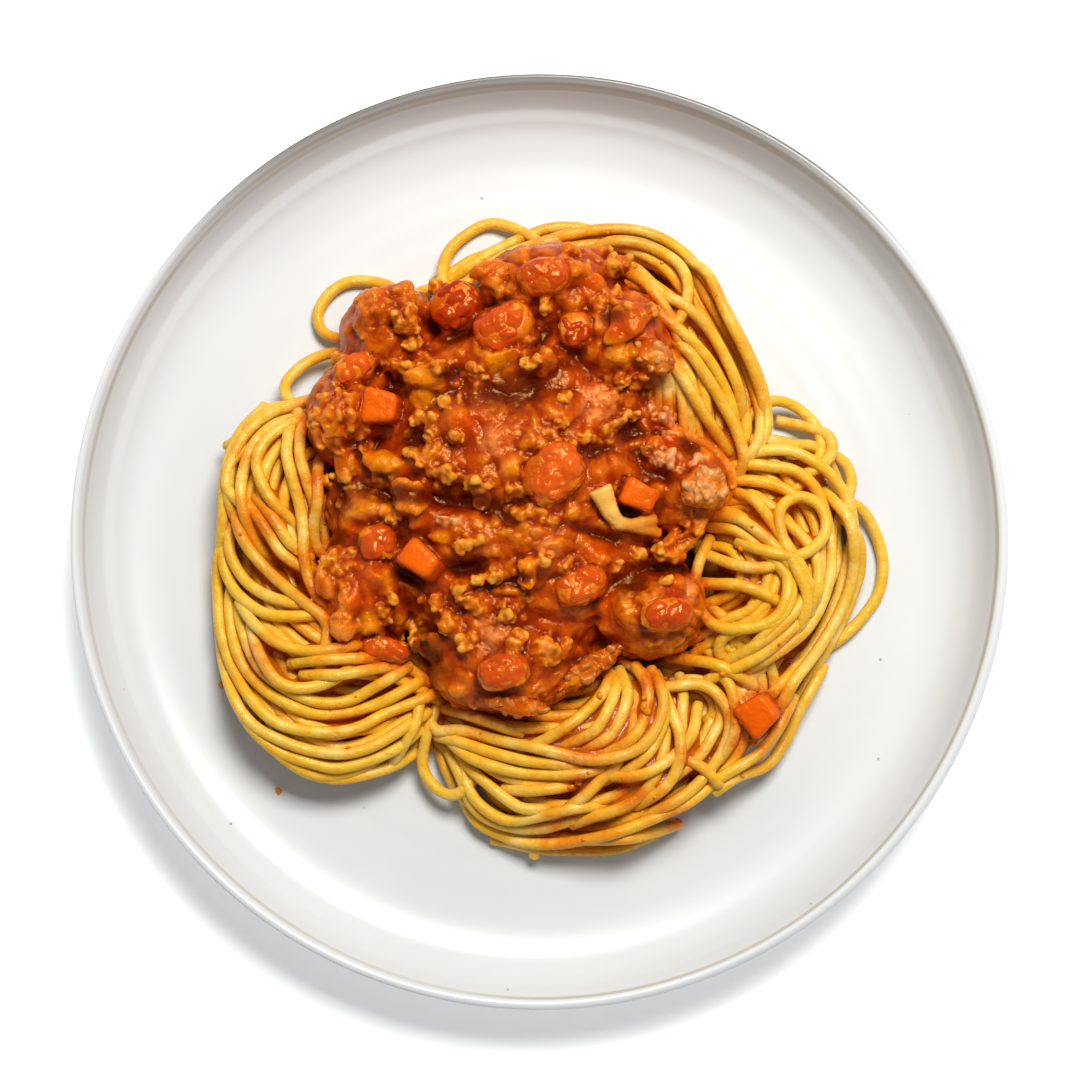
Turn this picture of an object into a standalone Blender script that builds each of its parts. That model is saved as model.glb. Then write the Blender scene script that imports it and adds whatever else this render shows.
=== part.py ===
# Spaghetti bolognese on a round stoneware plate, in metres, +Z up.
# The origin is the middle of the plate's foot. Each sub-part is one named object: the plate, the heap of
# spaghetti with the strands that show, the meat sauce that lies on it, and the larger pieces in the sauce.

import math
import random

import bmesh
import bpy
from mathutils import Vector

MM = 0.001
GAP = 0.35 * MM

# Plate, turned about Z: outer radius, height, thickness of the rounded lip, and the flat floor inside
PLATE_RADIUS = 117.0 * MM
PLATE_HEIGHT = 21.0 * MM
LIP_THICKNESS = 3.2 * MM
FLOOR_HEIGHT = 6.0 * MM
FLOOR_RADIUS = 103.5 * MM
BASE_THICKNESS = 4.3 * MM
FOOT_RADIUS = 80.0 * MM
FOOT_WIDTH = 4.5 * MM
WALL_LEAN = math.radians(15)
WALL_BEND = 7.0 * MM
OUTER_BEND = 14.8 * MM
PLATE_STEPS = 48

# Spaghetti
STRAND_DIAMETER = 2.9 * MM
STRAND_PITCH = 1.37 * STRAND_DIAMETER
STRAND_STEP = 9.6 * MM
LOWEST_STRAND = FLOOR_HEIGHT + GAP + STRAND_DIAMETER / 2
STRAND_SINK = 0.35 * STRAND_DIAMETER

# The heap under the strands: each nest is half an ellipsoid that stands on the plate's floor
# name: (x, y, radius along x, radius along y, height), in millimetres
NESTS = {
    "left_low": (-52, -31, 26, 26, 19),
    "left_high": (-58, 9, 20, 23, 18),
    "bottom": (17, -48, 36, 27, 19),
    "right": (54, -8, 23, 32, 20),
    "top_right": (18, 43, 35, 32, 25),
    "top_left": (-33, 42, 18, 18, 17),
    "middle": (-8, 14, 43, 50, 26),
    "lower_right": (44, -37, 20, 20, 14),
}

# The meat sauce: ellipsoids that run together
# name: (x, y, middle's height, radius along x, radius along y, radius along z), in millimetres
FOLDS = {
    "crown": (-6, 15, 19, 41, 49, 22),
    "top_left": (-37, 50, 19, 14, 14, 14),
    "left": (-46, 30, 20, 13, 15, 14),
    "left_middle": (-42, 8, 19, 13, 12, 13),
    "lower_left": (-43, -12, 19, 13, 19, 13),
    "top": (3, 61, 22, 21, 13, 14),
    "upper_right": (20, 48, 27, 14, 14, 12),
    "right": (33, 13, 23, 14, 13, 13),
    "lower_right": (27, -17, 20, 15, 14, 15),
    "bottom": (-8, -31, 19, 22, 14, 16),
}
LOWEST_SAUCE = 9.5 * MM

# Strands that lie side by side along one route: (strands, level, route)
# The level counts strands above the heap. A route is a few places in millimetres, seen from above.
SKEINS = {
    "left_outer": (2, 0, [(-60, 33), (-72, 28), (-78, 16), (-79, 0), (-78, -16), (-75, -31), (-68, -42),
                          (-58, -49), (-48, -50), (-38, -46), (-30, -40)]),
    "left_inner": (2, 0.6, [(-60, 29), (-62, 17), (-60, 5), (-57, -6), (-53, -15)]),
    "left_crest": (2, 0, [(-66, 28), (-66, 14), (-64, 0), (-60, -12)]),
    "left_slant": (2, 0.9, [(-77, 8), (-73, -2), (-66, -10), (-56, -17)]),
    "left_shelf": (2, 0.5, [(-74, -8), (-69, -15), (-61, -19), (-51, -19)]),
    "left_arcs": (2, 0.4, [(-72, -22), (-66, -31), (-58, -36), (-49, -36), (-41, -33)]),
    "left_ridge": (1, 0.2, [(-73, -12), (-64, -22), (-52, -27), (-40, -27)]),
    "left_base": (2, 0, [(-73, -42), (-66, -50), (-56, -56), (-45, -56), (-35, -51), (-28, -43)]),
    "bottom_top": (2, 0.7, [(-26, -49), (-12, -51), (2, -55), (16, -57), (26, -53), (30, -44), (28, -37)]),
    "bottom_outer": (2, 0, [(-20, -56), (-16, -65), (-6, -71), (9, -73), (24, -70), (37, -63), (46, -53),
                            (47, -43), (40, -38), (32, -39)]),
    "bottom_under": (1, 0.2, [(-18, -54), (-9, -59), (3, -62), (13, -61)]),
    "bottom_hook": (1, 0.8, [(8, -69), (18, -68), (26, -62), (31, -53), (34, -45)]),
    "right_outer": (2, 0, [(52, 22), (63, 20), (72, 13), (76, 3), (75, -10), (70, -23), (62, -36), (53, -48)]),
    "right_sweep": (2, 0.5, [(68, 4), (70, -7), (67, -17), (59, -26), (48, -32)]),
    "right_fan": (2, 0.8, [(47, 10), (54, 8), (60, 0), (65, -9), (67, -16)]),
    "right_arm": (2, 0.6, [(44, -5), (52, -8), (62, -7)]),
    "right_shelf": (2, 0.4, [(53, 17), (61, 15), (69, 9), (73, 2)]),
    "crescent": (1, 0.9, [(44, -2), (42, -11), (45, -20), (53, -23), (61, -20)]),
    "crown": (2, 0, [(-30, 61), (-18, 67), (-5, 73), (10, 76), (26, 74), (37, 67), (45, 56), (51, 44),
                     (54, 31), (52, 20)]),
    "top_inner": (2, 0.6, [(31, 61), (36, 54), (43, 44), (48, 32), (48, 19)]),
    "top_hook": (1, 1.0, [(20, 76), (30, 73), (36, 67), (37, 60), (35, 54)]),
    "brow": (1, 0.8, [(38, 39), (42, 31), (46, 24)]),
    "cross": (1, 1.0, [(41, 26), (46, 21), (49, 15), (48, 9)]),
    "loop_top": (1, 0, [(-24, 62), (-26, 69), (-21, 76), (-13, 79), (-6, 78), (1, 73)]),
    "loop_upper_left": (1, 0, [(-36, 57), (-45, 64), (-53, 62), (-56, 56), (-52, 51), (-42, 48)]),
    "loop_left": (1, 0, [(-45, 44), (-56, 46), (-62, 43), (-65, 37), (-61, 29)]),
    "loop_right": (1, 0, [(52, 32), (60, 35), (67, 31), (71, 24), (69, 16), (65, 12)]),
    "loop_far_right": (1, 0, [(73, 8), (82, 4), (86, -5), (85, -14), (79, -22), (68, -27)]),
    "loop_bottom": (1, 0, [(-20, -48), (-28, -52), (-29, -60), (-24, -65), (-18, -62), (-10, -57)]),
}
RING = (66.5, 3.0, 6.5, 1.6)

# Pieces as large as berries in the sauce: (x, y, length, width, height, turn in degrees, rise, lean)
# The rise is how far the piece's middle stands above the sauce, and the lean tips its far end up.
CARROTS = {
    "carrot_dice_left": (-39, 31, 10, 9.5, 8.5, -8, 0.5, 8),
    "carrot_dice_lower": (-29, -7, 11, 8, 8, -38, 0.4, 14),
    "carrot_dice_right": (24, 9, 10, 7.5, 7, -24, 0.3, -8),
    "carrot_dice_fallen": (54, -44, 10.5, 10, 8.5, 38, 5.5, 10),
}
TOMATOES = {
    "tomato_upper_left": (-21, 57, 14, 11.5, 9, 32, 0.2, 6),
    "tomato_pink_left": (-46, 41, 12, 7.5, 6.5, 24, 0.2, -6),
    "tomato_upper": (-9, 51, 16, 12, 9, 28, -1.2, 4),
    "tomato_top": (1, 63, 13, 10, 8, 8, -0.4, 4),
    "tomato_round": (9, 50, 9, 9.5, 8, 0, -0.6, 0),
    "tomato_middle": (3, 14, 17, 14, 9, 32, -1.6, 6),
    "tomato_lower_left": (-40, -2, 10.5, 9.5, 8, 10, 0, 0),
    "tomato_wedge": (-38, -28, 13, 6.5, 6.5, -14, 0.6, -6),
    "tomato_bottom": (-9, -34, 13, 9, 8, 12, 0.4, 6),
    "tomato_lower": (10, -13, 14, 9.5, 8, 20, -0.6, -6),
    "tomato_right": (31, -20, 13, 8.5, 7.5, 10, 0.6, -6),
}
MEAT_CLUMPS = {
    "meat_clump_right": (40, 11, 11, 11.5, 9, 60, 1.4, 0),
    "meat_clump_upper": (28, 43, 11, 8.5, 8, -16, 1.0, 0),
    "meat_strip_bottom": (12, -33, 21, 6, 6, 36, 0.6, -4),
    "meat_strip_low": (-6, -42, 17, 5.5, 5.5, -8, 0.6, 0),
}
ONION = (14.5, 10.5, 28.5, 3.5, 3.2)

# Crumbs of minced meat fused to the sauce
CRUMB_SEED = 11
CRUMB_COUNT = 16
CRUMB_RADIUS = (3.0, 5.6)

MATERIALS = {
    "glaze": ((0.86, 0.86, 0.84, 1), 0.25),
    "pasta": ((0.86, 0.56, 0.17, 1), 0.4),
    "sauce": ((0.50, 0.08, 0.012, 1), 0.3),
    "carrot": ((0.85, 0.22, 0.02, 1), 0.35),
    "tomato": ((0.66, 0.07, 0.015, 1), 0.25),
    "onion": ((0.86, 0.50, 0.16, 1), 0.35),
    "meat": ((0.42, 0.17, 0.08, 1), 0.5),
}


def clear_scene():
    for obj in list(bpy.data.objects):
        bpy.data.objects.remove(obj)


def material(name):
    found = bpy.data.materials.get(name)
    if found:
        return found
    colour, roughness = MATERIALS[name]
    made = bpy.data.materials.new(name)
    made.use_nodes = True
    shader = made.node_tree.nodes["Principled BSDF"]
    shader.inputs["Base Color"].default_value = colour
    shader.inputs["Roughness"].default_value = roughness
    shader.inputs["Metallic"].default_value = 0
    return made


def new_collection(name, hidden=False):
    made = bpy.data.collections.new(name)
    made.hide_render = hidden
    bpy.context.scene.collection.children.link(made)
    return made


def add_object(name, mesh, collection, finish=None):
    obj = bpy.data.objects.new(name, mesh)
    collection.objects.link(obj)
    if finish:
        mesh.materials.clear()
        mesh.materials.append(material(finish))
    return obj


def ellipsoid(name, centre, radii, collection, subdivisions=2):
    """A closed ball stretched to three radii."""
    shape = bmesh.new()
    bmesh.ops.create_icosphere(shape, subdivisions=subdivisions, radius=1)
    for vertex in shape.verts:
        vertex.co = Vector(c + v * r for c, v, r in zip(centre, vertex.co, radii))
    mesh = bpy.data.meshes.new(name)
    shape.to_mesh(mesh)
    shape.free()
    return add_object(name, mesh, collection)


def slab(name, z_low, z_high, collection):
    """A box wider than the plate between two heights, to cut with."""
    shape = bmesh.new()
    bmesh.ops.create_cube(shape, size=1)
    for vertex in shape.verts:
        vertex.co.x *= 3 * PLATE_RADIUS
        vertex.co.y *= 3 * PLATE_RADIUS
        vertex.co.z = z_high if vertex.co.z > 0 else z_low
    mesh = bpy.data.meshes.new(name)
    shape.to_mesh(mesh)
    shape.free()
    return add_object(name, mesh, collection)


def combine(target, operation, tools):
    """Applies one Boolean of a whole collection to the target, and removes the collection's objects."""
    modifier = target.modifiers.new(operation.title(), "BOOLEAN")
    modifier.operation = operation
    modifier.operand_type = "COLLECTION"
    modifier.collection = tools
    modifier.solver = "MANIFOLD"
    bpy.context.view_layer.update()
    evaluated = target.evaluated_get(bpy.context.evaluated_depsgraph_get())
    mesh = bpy.data.meshes.new_from_object(evaluated)
    target.modifiers.clear()
    target.data = mesh
    for obj in list(tools.objects):
        bpy.data.objects.remove(obj)
    bpy.data.collections.remove(tools)


def drop_scraps(obj):
    """Keeps the largest connected body of a mesh and removes the loose scraps."""
    shape = bmesh.new()
    shape.from_mesh(obj.data)
    waiting = set(shape.verts)
    bodies = []
    while waiting:
        body = set()
        edge = [waiting.pop()]
        while edge:
            vertex = edge.pop()
            body.add(vertex)
            for link in vertex.link_edges:
                other = link.other_vert(vertex)
                if other in waiting:
                    waiting.remove(other)
                    edge.append(other)
        bodies.append(body)
    bodies.sort(key=len)
    for body in bodies[:-1]:
        bmesh.ops.delete(shape, geom=list(body), context="VERTS")
    shape.to_mesh(obj.data)
    shape.free()


def smooth_route(places, step):
    """Points about a step apart on a curve that passes through the places."""
    ends = [places[0] * 2 - places[1], *places, places[-1] * 2 - places[-2]]
    dense = []
    for a, b, c, d in zip(ends, ends[1:], ends[2:], ends[3:]):
        for i in range(24):
            t = i / 24
            dense.append(0.5 * ((2 * b) + (c - a) * t + (2 * a - 5 * b + 4 * c - d) * t * t
                                + (3 * b - a - 3 * c + d) * t ** 3))
    dense.append(places[-1].copy())
    length = sum((q - p).length for p, q in zip(dense, dense[1:]))
    count = max(3, round(length / step))
    points = [dense[0]]
    walked = 0.0
    for p, q in zip(dense, dense[1:]):
        piece = (q - p).length
        while len(points) < count and walked + piece >= len(points) * length / count:
            share = (len(points) * length / count - walked) / piece
            points.append(p.lerp(q, share))
        walked += piece
    points.append(dense[-1])
    return points


def beside(route, distance):
    """The route moved sideways, seen from above."""
    moved = []
    for i, point in enumerate(route):
        along = route[min(i + 1, len(route) - 1)] - route[max(i - 1, 0)]
        side = Vector((along.y, -along.x)).normalized()
        moved.append(point + side * distance)
    return moved


def top_of_nests(x, y):
    """Height of the bare heap at a place, in metres."""
    top = 0.0
    for cx, cy, rx, ry, height in NESTS.values():
        inside = 1 - ((x / MM - cx) / rx) ** 2 - ((y / MM - cy) / ry) ** 2
        if inside > 0:
            top = max(top, FLOOR_HEIGHT + height * MM * math.sqrt(inside))
    return top


def top_of_sauce(x, y):
    """Height of the smooth sauce at a place given in millimetres, in metres."""
    top = top_of_nests(x * MM, y * MM)
    for cx, cy, cz, rx, ry, rz in FOLDS.values():
        inside = 1 - ((x - cx) / rx) ** 2 - ((y - cy) / ry) ** 2
        if inside > 0:
            top = max(top, (cz + rz * math.sqrt(inside)) * MM)
    return top


def lay_strand(route, level):
    """The strand's centreline: the route laid over the heap, level strands above it."""
    heights = []
    for point in route:
        heap = top_of_nests(point.x, point.y)
        laid = heap + STRAND_DIAMETER * (0.5 + level) - STRAND_SINK
        heights.append(max(LOWEST_STRAND, laid if heap else 0))
    last = len(heights) - 1
    eased = [(heights[max(i - 1, 0)] + 2 * h + heights[min(i + 1, last)]) / 4 for i, h in enumerate(heights)]
    return [Vector((p.x, p.y, max(LOWEST_STRAND, z))) for p, z in zip(route, eased)]


def strand(name, line, collection, closed=False):
    """One strand: a bevelled curve along the line, made a closed mesh."""
    curve = bpy.data.curves.new(name, "CURVE")
    curve.dimensions = "3D"
    curve.bevel_depth = STRAND_DIAMETER / 2
    curve.bevel_resolution = 1
    curve.use_fill_caps = True
    spline = curve.splines.new("POLY")
    spline.points.add(len(line) - 1)
    spline.use_cyclic_u = closed
    for target, point in zip(spline.points, line):
        target.co = (*point, 1)
    guide = bpy.data.objects.new(name, curve)
    collection.objects.link(guide)
    bpy.context.view_layer.update()
    evaluated = guide.evaluated_get(bpy.context.evaluated_depsgraph_get())
    mesh = bpy.data.meshes.new_from_object(evaluated)
    shape = bmesh.new()
    shape.from_mesh(mesh)
    bmesh.ops.remove_doubles(shape, verts=shape.verts, dist=0.00001)
    bmesh.ops.recalc_face_normals(shape, faces=shape.faces)
    shape.to_mesh(mesh)
    shape.free()
    bpy.data.objects.remove(guide)
    return add_object(name, mesh, collection)


def add_strands(collection):
    """Every strand that shows, along its skein's route."""
    for name, (count, level, places) in SKEINS.items():
        route = smooth_route([Vector(place) * MM for place in places], STRAND_STEP)
        for i in range(count):
            shifted = beside(route, (i - (count - 1) / 2) * STRAND_PITCH)
            strand(f"{name}_{i}", lay_strand(shifted, level), collection)
    x, y, radius, level = RING
    turns = [math.tau * i / 12 for i in range(12)]
    ring = [Vector(((x + radius * math.cos(a)) * MM, (y + radius * math.sin(a)) * MM)) for a in turns]
    strand("ring", lay_strand(ring, level), collection, closed=True)


def add_nests(collection, extra=0.0):
    for name, (x, y, rx, ry, height) in NESTS.items():
        centre = (x * MM, y * MM, FLOOR_HEIGHT)
        radii = (rx * MM + extra, ry * MM + extra, height * MM + extra)
        ellipsoid(f"nest_{name}", centre, radii, collection)


def crumbs():
    """Places and sizes of the meat crumbs on the sauce, away from the larger pieces."""
    rng = random.Random(CRUMB_SEED)
    taken = [(piece[0], piece[1], max(piece[2:4]) / 2) for group in (CARROTS, TOMATOES, MEAT_CLUMPS)
             for piece in group.values()]
    taken.append((22, 7, 11))
    found = []
    while len(found) < CRUMB_COUNT:
        cx, cy, _, rx, ry, _ = rng.choice(list(FOLDS.values()))
        turn, out = rng.uniform(0, math.tau), 0.9 * math.sqrt(rng.random())
        x, y = cx + rx * out * math.cos(turn), cy + ry * out * math.sin(turn)
        radius = rng.uniform(*CRUMB_RADIUS)
        if all(math.hypot(x - px, y - py) > radius + reach * 0.9 for px, py, reach in taken):
            taken.append((x, y, radius))
            found.append((x, y, radius, rng.uniform(0.7, 1.3)))
    return found


def add_sauce(collection, extra=0.0):
    for name, (x, y, z, rx, ry, rz) in FOLDS.items():
        centre = (x * MM, y * MM, z * MM)
        ellipsoid(f"fold_{name}", centre, (rx * MM + extra, ry * MM + extra, rz * MM + extra), collection)
    for i, (x, y, radius, stretch) in enumerate(crumbs()):
        centre = (x * MM, y * MM, top_of_sauce(x, y))
        radii = (radius * stretch * MM + extra, radius / stretch * MM + extra, radius * 0.8 * MM + extra)
        ellipsoid(f"crumb_{i}", centre, radii, collection, 1)


def placed(shape, piece, extra):
    """Stretches a unit shape to the piece's size and puts it on the sauce, turned and leaning."""
    x, y, length, width, height, turn, rise, lean = piece
    half = [side * MM / 2 + extra for side in (length, width, height)]
    bmesh.ops.scale(shape, vec=half, verts=shape.verts)
    tip, swing = math.radians(lean), math.radians(turn)
    z = top_of_sauce(x, y) + rise * MM
    for vertex in shape.verts:
        px, py, pz = vertex.co
        px, pz = px * math.cos(tip) - pz * math.sin(tip), px * math.sin(tip) + pz * math.cos(tip)
        px, py = px * math.cos(swing) - py * math.sin(swing), px * math.sin(swing) + py * math.cos(swing)
        vertex.co = (x * MM + px, y * MM + py, z + pz)


def dice(name, piece, collection, extra=0.0, finish=None):
    """A cut cube of vegetable: flat faces, blunt edges and one face that runs aslant."""
    shape = bmesh.new()
    bmesh.ops.create_cube(shape, size=2)
    for vertex in shape.verts:
        if vertex.co.x > 0:
            vertex.co.y *= 0.72
        if vertex.co.z > 0:
            vertex.co.x *= 0.84
    bmesh.ops.bevel(shape, geom=shape.edges[:] + shape.verts[:], offset=0.2, segments=1, affect="EDGES")
    placed(shape, piece, extra)
    mesh = bpy.data.meshes.new(name)
    shape.to_mesh(mesh)
    shape.free()
    return add_object(name, mesh, collection, finish)


def chunk(name, piece, collection, extra=0.0, finish=None, lump=0.06, ripples=3, blunt=0.75):
    """A soft cooked chunk: between a ball and a block, with a few shallow ripples."""
    shape = bmesh.new()
    bmesh.ops.create_icosphere(shape, subdivisions=2, radius=1)
    phase = sum(ord(letter) for letter in name.replace("cutter_", "")) % 7
    for vertex in shape.verts:
        soft = Vector(math.copysign(abs(v) ** blunt, v) for v in vertex.co)
        wave = math.sin(ripples * vertex.co.x + phase) * math.sin(ripples * vertex.co.y - phase)
        vertex.co = soft * (1 + lump * wave)
    placed(shape, piece, extra)
    mesh = bpy.data.meshes.new(name)
    shape.to_mesh(mesh)
    shape.free()
    return add_object(name, mesh, collection, finish)


def onion_piece(name, collection, extra=0.0, finish=None):
    """A bent slip of onion that forks at one end."""
    x0, y0, x1, y1, thickness = ONION
    z0, z1 = top_of_sauce(x0, y0) + 1.2 * MM, top_of_sauce(x1, y1) + 1.6 * MM
    bend = Vector(((x0 + 5) * MM, (y0 - 8.5) * MM, top_of_sauce(x0 + 5, y0 - 8.5) + 1.0 * MM))
    fork = Vector(((x1 + 1.0) * MM, (y1 - 3.5) * MM, z1 - 1.0 * MM))
    line = [Vector((x0 * MM, y0 * MM, z0)), bend, Vector((x1 * MM, y1 * MM, z1))]
    tools = new_collection(f"{name}_limbs", hidden=True)
    whole = limb(name, smooth_route(line, 3.2 * MM), thickness * MM / 2 + extra, 2.0, collection)
    limb(f"{name}_fork", [bend, (bend + fork) / 2, fork], thickness * MM / 2.4 + extra, 1.3, tools)
    combine(whole, "UNION", tools)
    drop_scraps(whole)
    if finish:
        whole.data.materials.clear()
        whole.data.materials.append(material(finish))
    return whole


def limb(name, line, radius, flare, collection):
    """A tapering limb of onion, thickest at its start."""
    shape = bmesh.new()
    rings = []
    for i, point in enumerate(line):
        along = (line[min(i + 1, len(line) - 1)] - line[max(i - 1, 0)]).normalized()
        side = along.cross(Vector((0, 0, 1))).normalized()
        rise = side.cross(along)
        share = 1 - i / (len(line) - 1)
        wide = radius * (1 + (flare - 1) * share * share)
        turns = [math.tau * k / 8 for k in range(8)]
        rings.append([shape.verts.new(point + side * math.cos(a) * wide + rise * math.sin(a) * radius)
                      for a in turns])
    for low, high in zip(rings, rings[1:]):
        for k in range(8):
            shape.faces.new((low[k], low[(k + 1) % 8], high[(k + 1) % 8], high[k]))
    shape.faces.new(list(reversed(rings[0])))
    shape.faces.new(rings[-1])
    bmesh.ops.recalc_face_normals(shape, faces=shape.faces)
    mesh = bpy.data.meshes.new(name)
    shape.to_mesh(mesh)
    shape.free()
    return add_object(name, mesh, collection)


def add_pieces(collection, prefix="", extra=0.0, dressed=True):
    for name, piece in CARROTS.items():
        dice(prefix + name, piece, collection, extra, "carrot" if dressed else None)
    for name, piece in TOMATOES.items():
        chunk(prefix + name, piece, collection, extra, "tomato" if dressed else None)
    for name, piece in MEAT_CLUMPS.items():
        chunk(prefix + name, piece, collection, extra, "meat" if dressed else None, 0.16, 5, 0.9)
    onion_piece(prefix + "onion_slip", collection, extra, "onion" if dressed else None)


def arc(x, z, radius, start, end, steps):
    """Points on an arc in the XZ plane, from one angle to another, in degrees."""
    angles = [math.radians(start + (end - start) * i / steps) for i in range(steps + 1)]
    return [(x + radius * math.cos(a), z + radius * math.sin(a)) for a in angles]


def build_plate(collection):
    """The plate: its section from the middle of the floor over the lip to the middle of the foot."""
    lip = LIP_THICKNESS / 2
    lip_x, lip_z = PLATE_RADIUS - lip, PLATE_HEIGHT - lip
    under = FLOOR_HEIGHT - BASE_THICKNESS
    section = [(0, FLOOR_HEIGHT - 0.4 * MM), (FLOOR_RADIUS * 0.6, FLOOR_HEIGHT - 0.3 * MM)]
    section += arc(FLOOR_RADIUS, FLOOR_HEIGHT + WALL_BEND, WALL_BEND, -90, -math.degrees(WALL_LEAN), 3)
    section += arc(lip_x, lip_z, lip, 160, -10, 5)
    section += arc(FLOOR_RADIUS - 1.7 * MM, under + OUTER_BEND, OUTER_BEND, -18, -88, 3)
    section += [(FOOT_RADIUS + 1.5 * MM, under + 0.1 * MM), (FOOT_RADIUS, 0), (FOOT_RADIUS - FOOT_WIDTH, 0),
                (FOOT_RADIUS - FOOT_WIDTH - 1.5 * MM, under), (0, under)]
    mesh = bpy.data.meshes.new("plate")
    edges = [(i, i + 1) for i in range(len(section) - 1)]
    mesh.from_pydata([(x, 0, z) for x, z in section], edges, [])
    plate = add_object("plate", mesh, collection, "glaze")
    screw = plate.modifiers.new("Turn", "SCREW")
    screw.steps = PLATE_STEPS
    screw.render_steps = PLATE_STEPS
    screw.use_merge_vertices = True
    screw.merge_threshold = 0.00005
    screw.use_smooth_shade = True
    return plate


def build_spaghetti(collection):
    """The heap: its nests, with the strands that show fused on, clear of the plate and the sauce."""
    strands = new_collection("strands")
    add_strands(strands)
    first, *others = list(strands.objects)
    joined = new_collection("strand_tools", hidden=True)
    for obj in others:
        strands.objects.unlink(obj)
        joined.objects.link(obj)
    combine(first, "UNION", joined)
    cutters = new_collection("sauce_clearance", hidden=True)
    add_sauce(cutters, GAP)
    combine(first, "DIFFERENCE", cutters)
    nests = new_collection("nest_tools", hidden=True)
    add_nests(nests)
    combine(first, "UNION", nests)
    beds = new_collection("heap_beds", hidden=True)
    slab("below", -PLATE_HEIGHT, FLOOR_HEIGHT + GAP, beds)
    add_pieces(beds, "cutter_", GAP, dressed=False)
    combine(first, "DIFFERENCE", beds)
    drop_scraps(first)
    heap = add_object("spaghetti", first.data, collection, "pasta")
    bpy.data.objects.remove(first)
    return heap


def build_sauce(collection):
    """The meat sauce: its folds and crumbs, hollowed to lie on the heap, with a bed for each piece."""
    parts = new_collection("sauce_parts")
    add_sauce(parts)
    first, *others = list(parts.objects)
    joined = new_collection("sauce_tools", hidden=True)
    for obj in others:
        parts.objects.unlink(obj)
        joined.objects.link(obj)
    combine(first, "UNION", joined)
    beds = new_collection("beds", hidden=True)
    add_nests(beds, GAP)
    slab("low_edge", -PLATE_HEIGHT, LOWEST_SAUCE, beds)
    add_pieces(beds, "cutter_", GAP, dressed=False)
    combine(first, "DIFFERENCE", beds)
    drop_scraps(first)
    sauce = add_object("meat_sauce", first.data, collection, "sauce")
    bpy.data.objects.remove(first)
    return sauce


def main():
    clear_scene()
    dish = new_collection("spaghetti_bolognese")
    build_plate(dish)
    build_spaghetti(dish)
    build_sauce(dish)
    add_pieces(dish)


main()
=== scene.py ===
import math
import random

import bmesh
import bpy
import numpy as np
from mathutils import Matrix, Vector, noise
from mathutils.bvhtree import BVHTree
from mathutils.kdtree import KDTree


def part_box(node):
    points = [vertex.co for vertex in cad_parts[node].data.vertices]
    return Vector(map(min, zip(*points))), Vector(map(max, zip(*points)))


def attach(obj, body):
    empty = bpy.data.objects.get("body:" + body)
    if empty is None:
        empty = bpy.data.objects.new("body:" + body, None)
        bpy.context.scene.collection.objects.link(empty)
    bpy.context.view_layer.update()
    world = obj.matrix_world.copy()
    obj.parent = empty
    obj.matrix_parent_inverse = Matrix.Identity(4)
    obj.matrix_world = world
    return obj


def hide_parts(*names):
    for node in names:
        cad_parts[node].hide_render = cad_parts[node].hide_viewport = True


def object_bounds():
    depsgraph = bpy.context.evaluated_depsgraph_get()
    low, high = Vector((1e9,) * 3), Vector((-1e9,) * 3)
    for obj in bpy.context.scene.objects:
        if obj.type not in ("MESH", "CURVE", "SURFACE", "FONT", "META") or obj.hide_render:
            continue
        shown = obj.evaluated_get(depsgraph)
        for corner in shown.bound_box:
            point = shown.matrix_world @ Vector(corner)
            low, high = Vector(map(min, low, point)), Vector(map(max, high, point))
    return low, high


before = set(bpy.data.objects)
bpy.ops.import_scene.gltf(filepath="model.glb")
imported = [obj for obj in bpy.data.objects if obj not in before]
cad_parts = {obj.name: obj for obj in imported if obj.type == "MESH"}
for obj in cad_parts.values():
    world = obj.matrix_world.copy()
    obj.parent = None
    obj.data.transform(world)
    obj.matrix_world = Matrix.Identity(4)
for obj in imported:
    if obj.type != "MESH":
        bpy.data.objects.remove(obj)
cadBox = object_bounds()
mm = 0.001
body = "root"
print("packed model loaded:", len(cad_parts), "nodes")


# shader maths: a Wire holds one output socket, and sums on it add Math nodes
class Wire:
    def __init__(self, tree, socket=None):
        self.tree = tree
        self.socket = socket

    # any node: its kind, its settings, then the values or wires of its sockets
    def node(self, kind, settings=None, values=None, out=0):
        made = self.tree.nodes.new("ShaderNode" + kind)
        for key, value in (settings or {}).items():
            if key == "stops":
                fillRamp(made.color_ramp, value)
            else:
                setattr(made, key, value)
        for key, value in (values or {}).items():
            if isinstance(value, Wire):
                self.tree.links.new(value.socket, made.inputs[key])
            else:
                made.inputs[key].default_value = value
        return Wire(self.tree, made.outputs[out])

    def maths(self, operation, *values, clamp=False):
        return self.node("Math", {"operation": operation, "use_clamp": clamp}, dict(enumerate(values)))

    def __add__(self, other):
        return self.maths("ADD", self, other)

    def __radd__(self, other):
        return self.maths("ADD", other, self)

    def __sub__(self, other):
        return self.maths("SUBTRACT", self, other)

    def __rsub__(self, other):
        return self.maths("SUBTRACT", other, self)

    def __mul__(self, other):
        return self.maths("MULTIPLY", self, other)

    def __rmul__(self, other):
        return self.maths("MULTIPLY", other, self)

    def clamp(self):
        return self.maths("ADD", self, 0, clamp=True)

    # 0 below low, 1 above high, smooth between
    def step(self, low, high):
        return self.node("MapRange", {"interpolation_type": "SMOOTHSTEP"},
                         {"Value": self, "From Min": low, "From Max": high})

    # the first colour where self is 0, the second where it is 1
    def mix(self, first, second):
        return self.node("Mix", {"data_type": "RGBA"}, {0: self, 6: first, 7: second}, out=2)

    def parts(self):
        split = self.node("SeparateXYZ", values={"Vector": self}).socket.node
        return [Wire(self.tree, output) for output in split.outputs]


def fillRamp(ramp, stops):
    while len(ramp.elements) < len(stops):
        ramp.elements.new(0.5)
    for element, (place, colour) in zip(ramp.elements, stops):
        element.position = place
        element.color = colour


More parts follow.
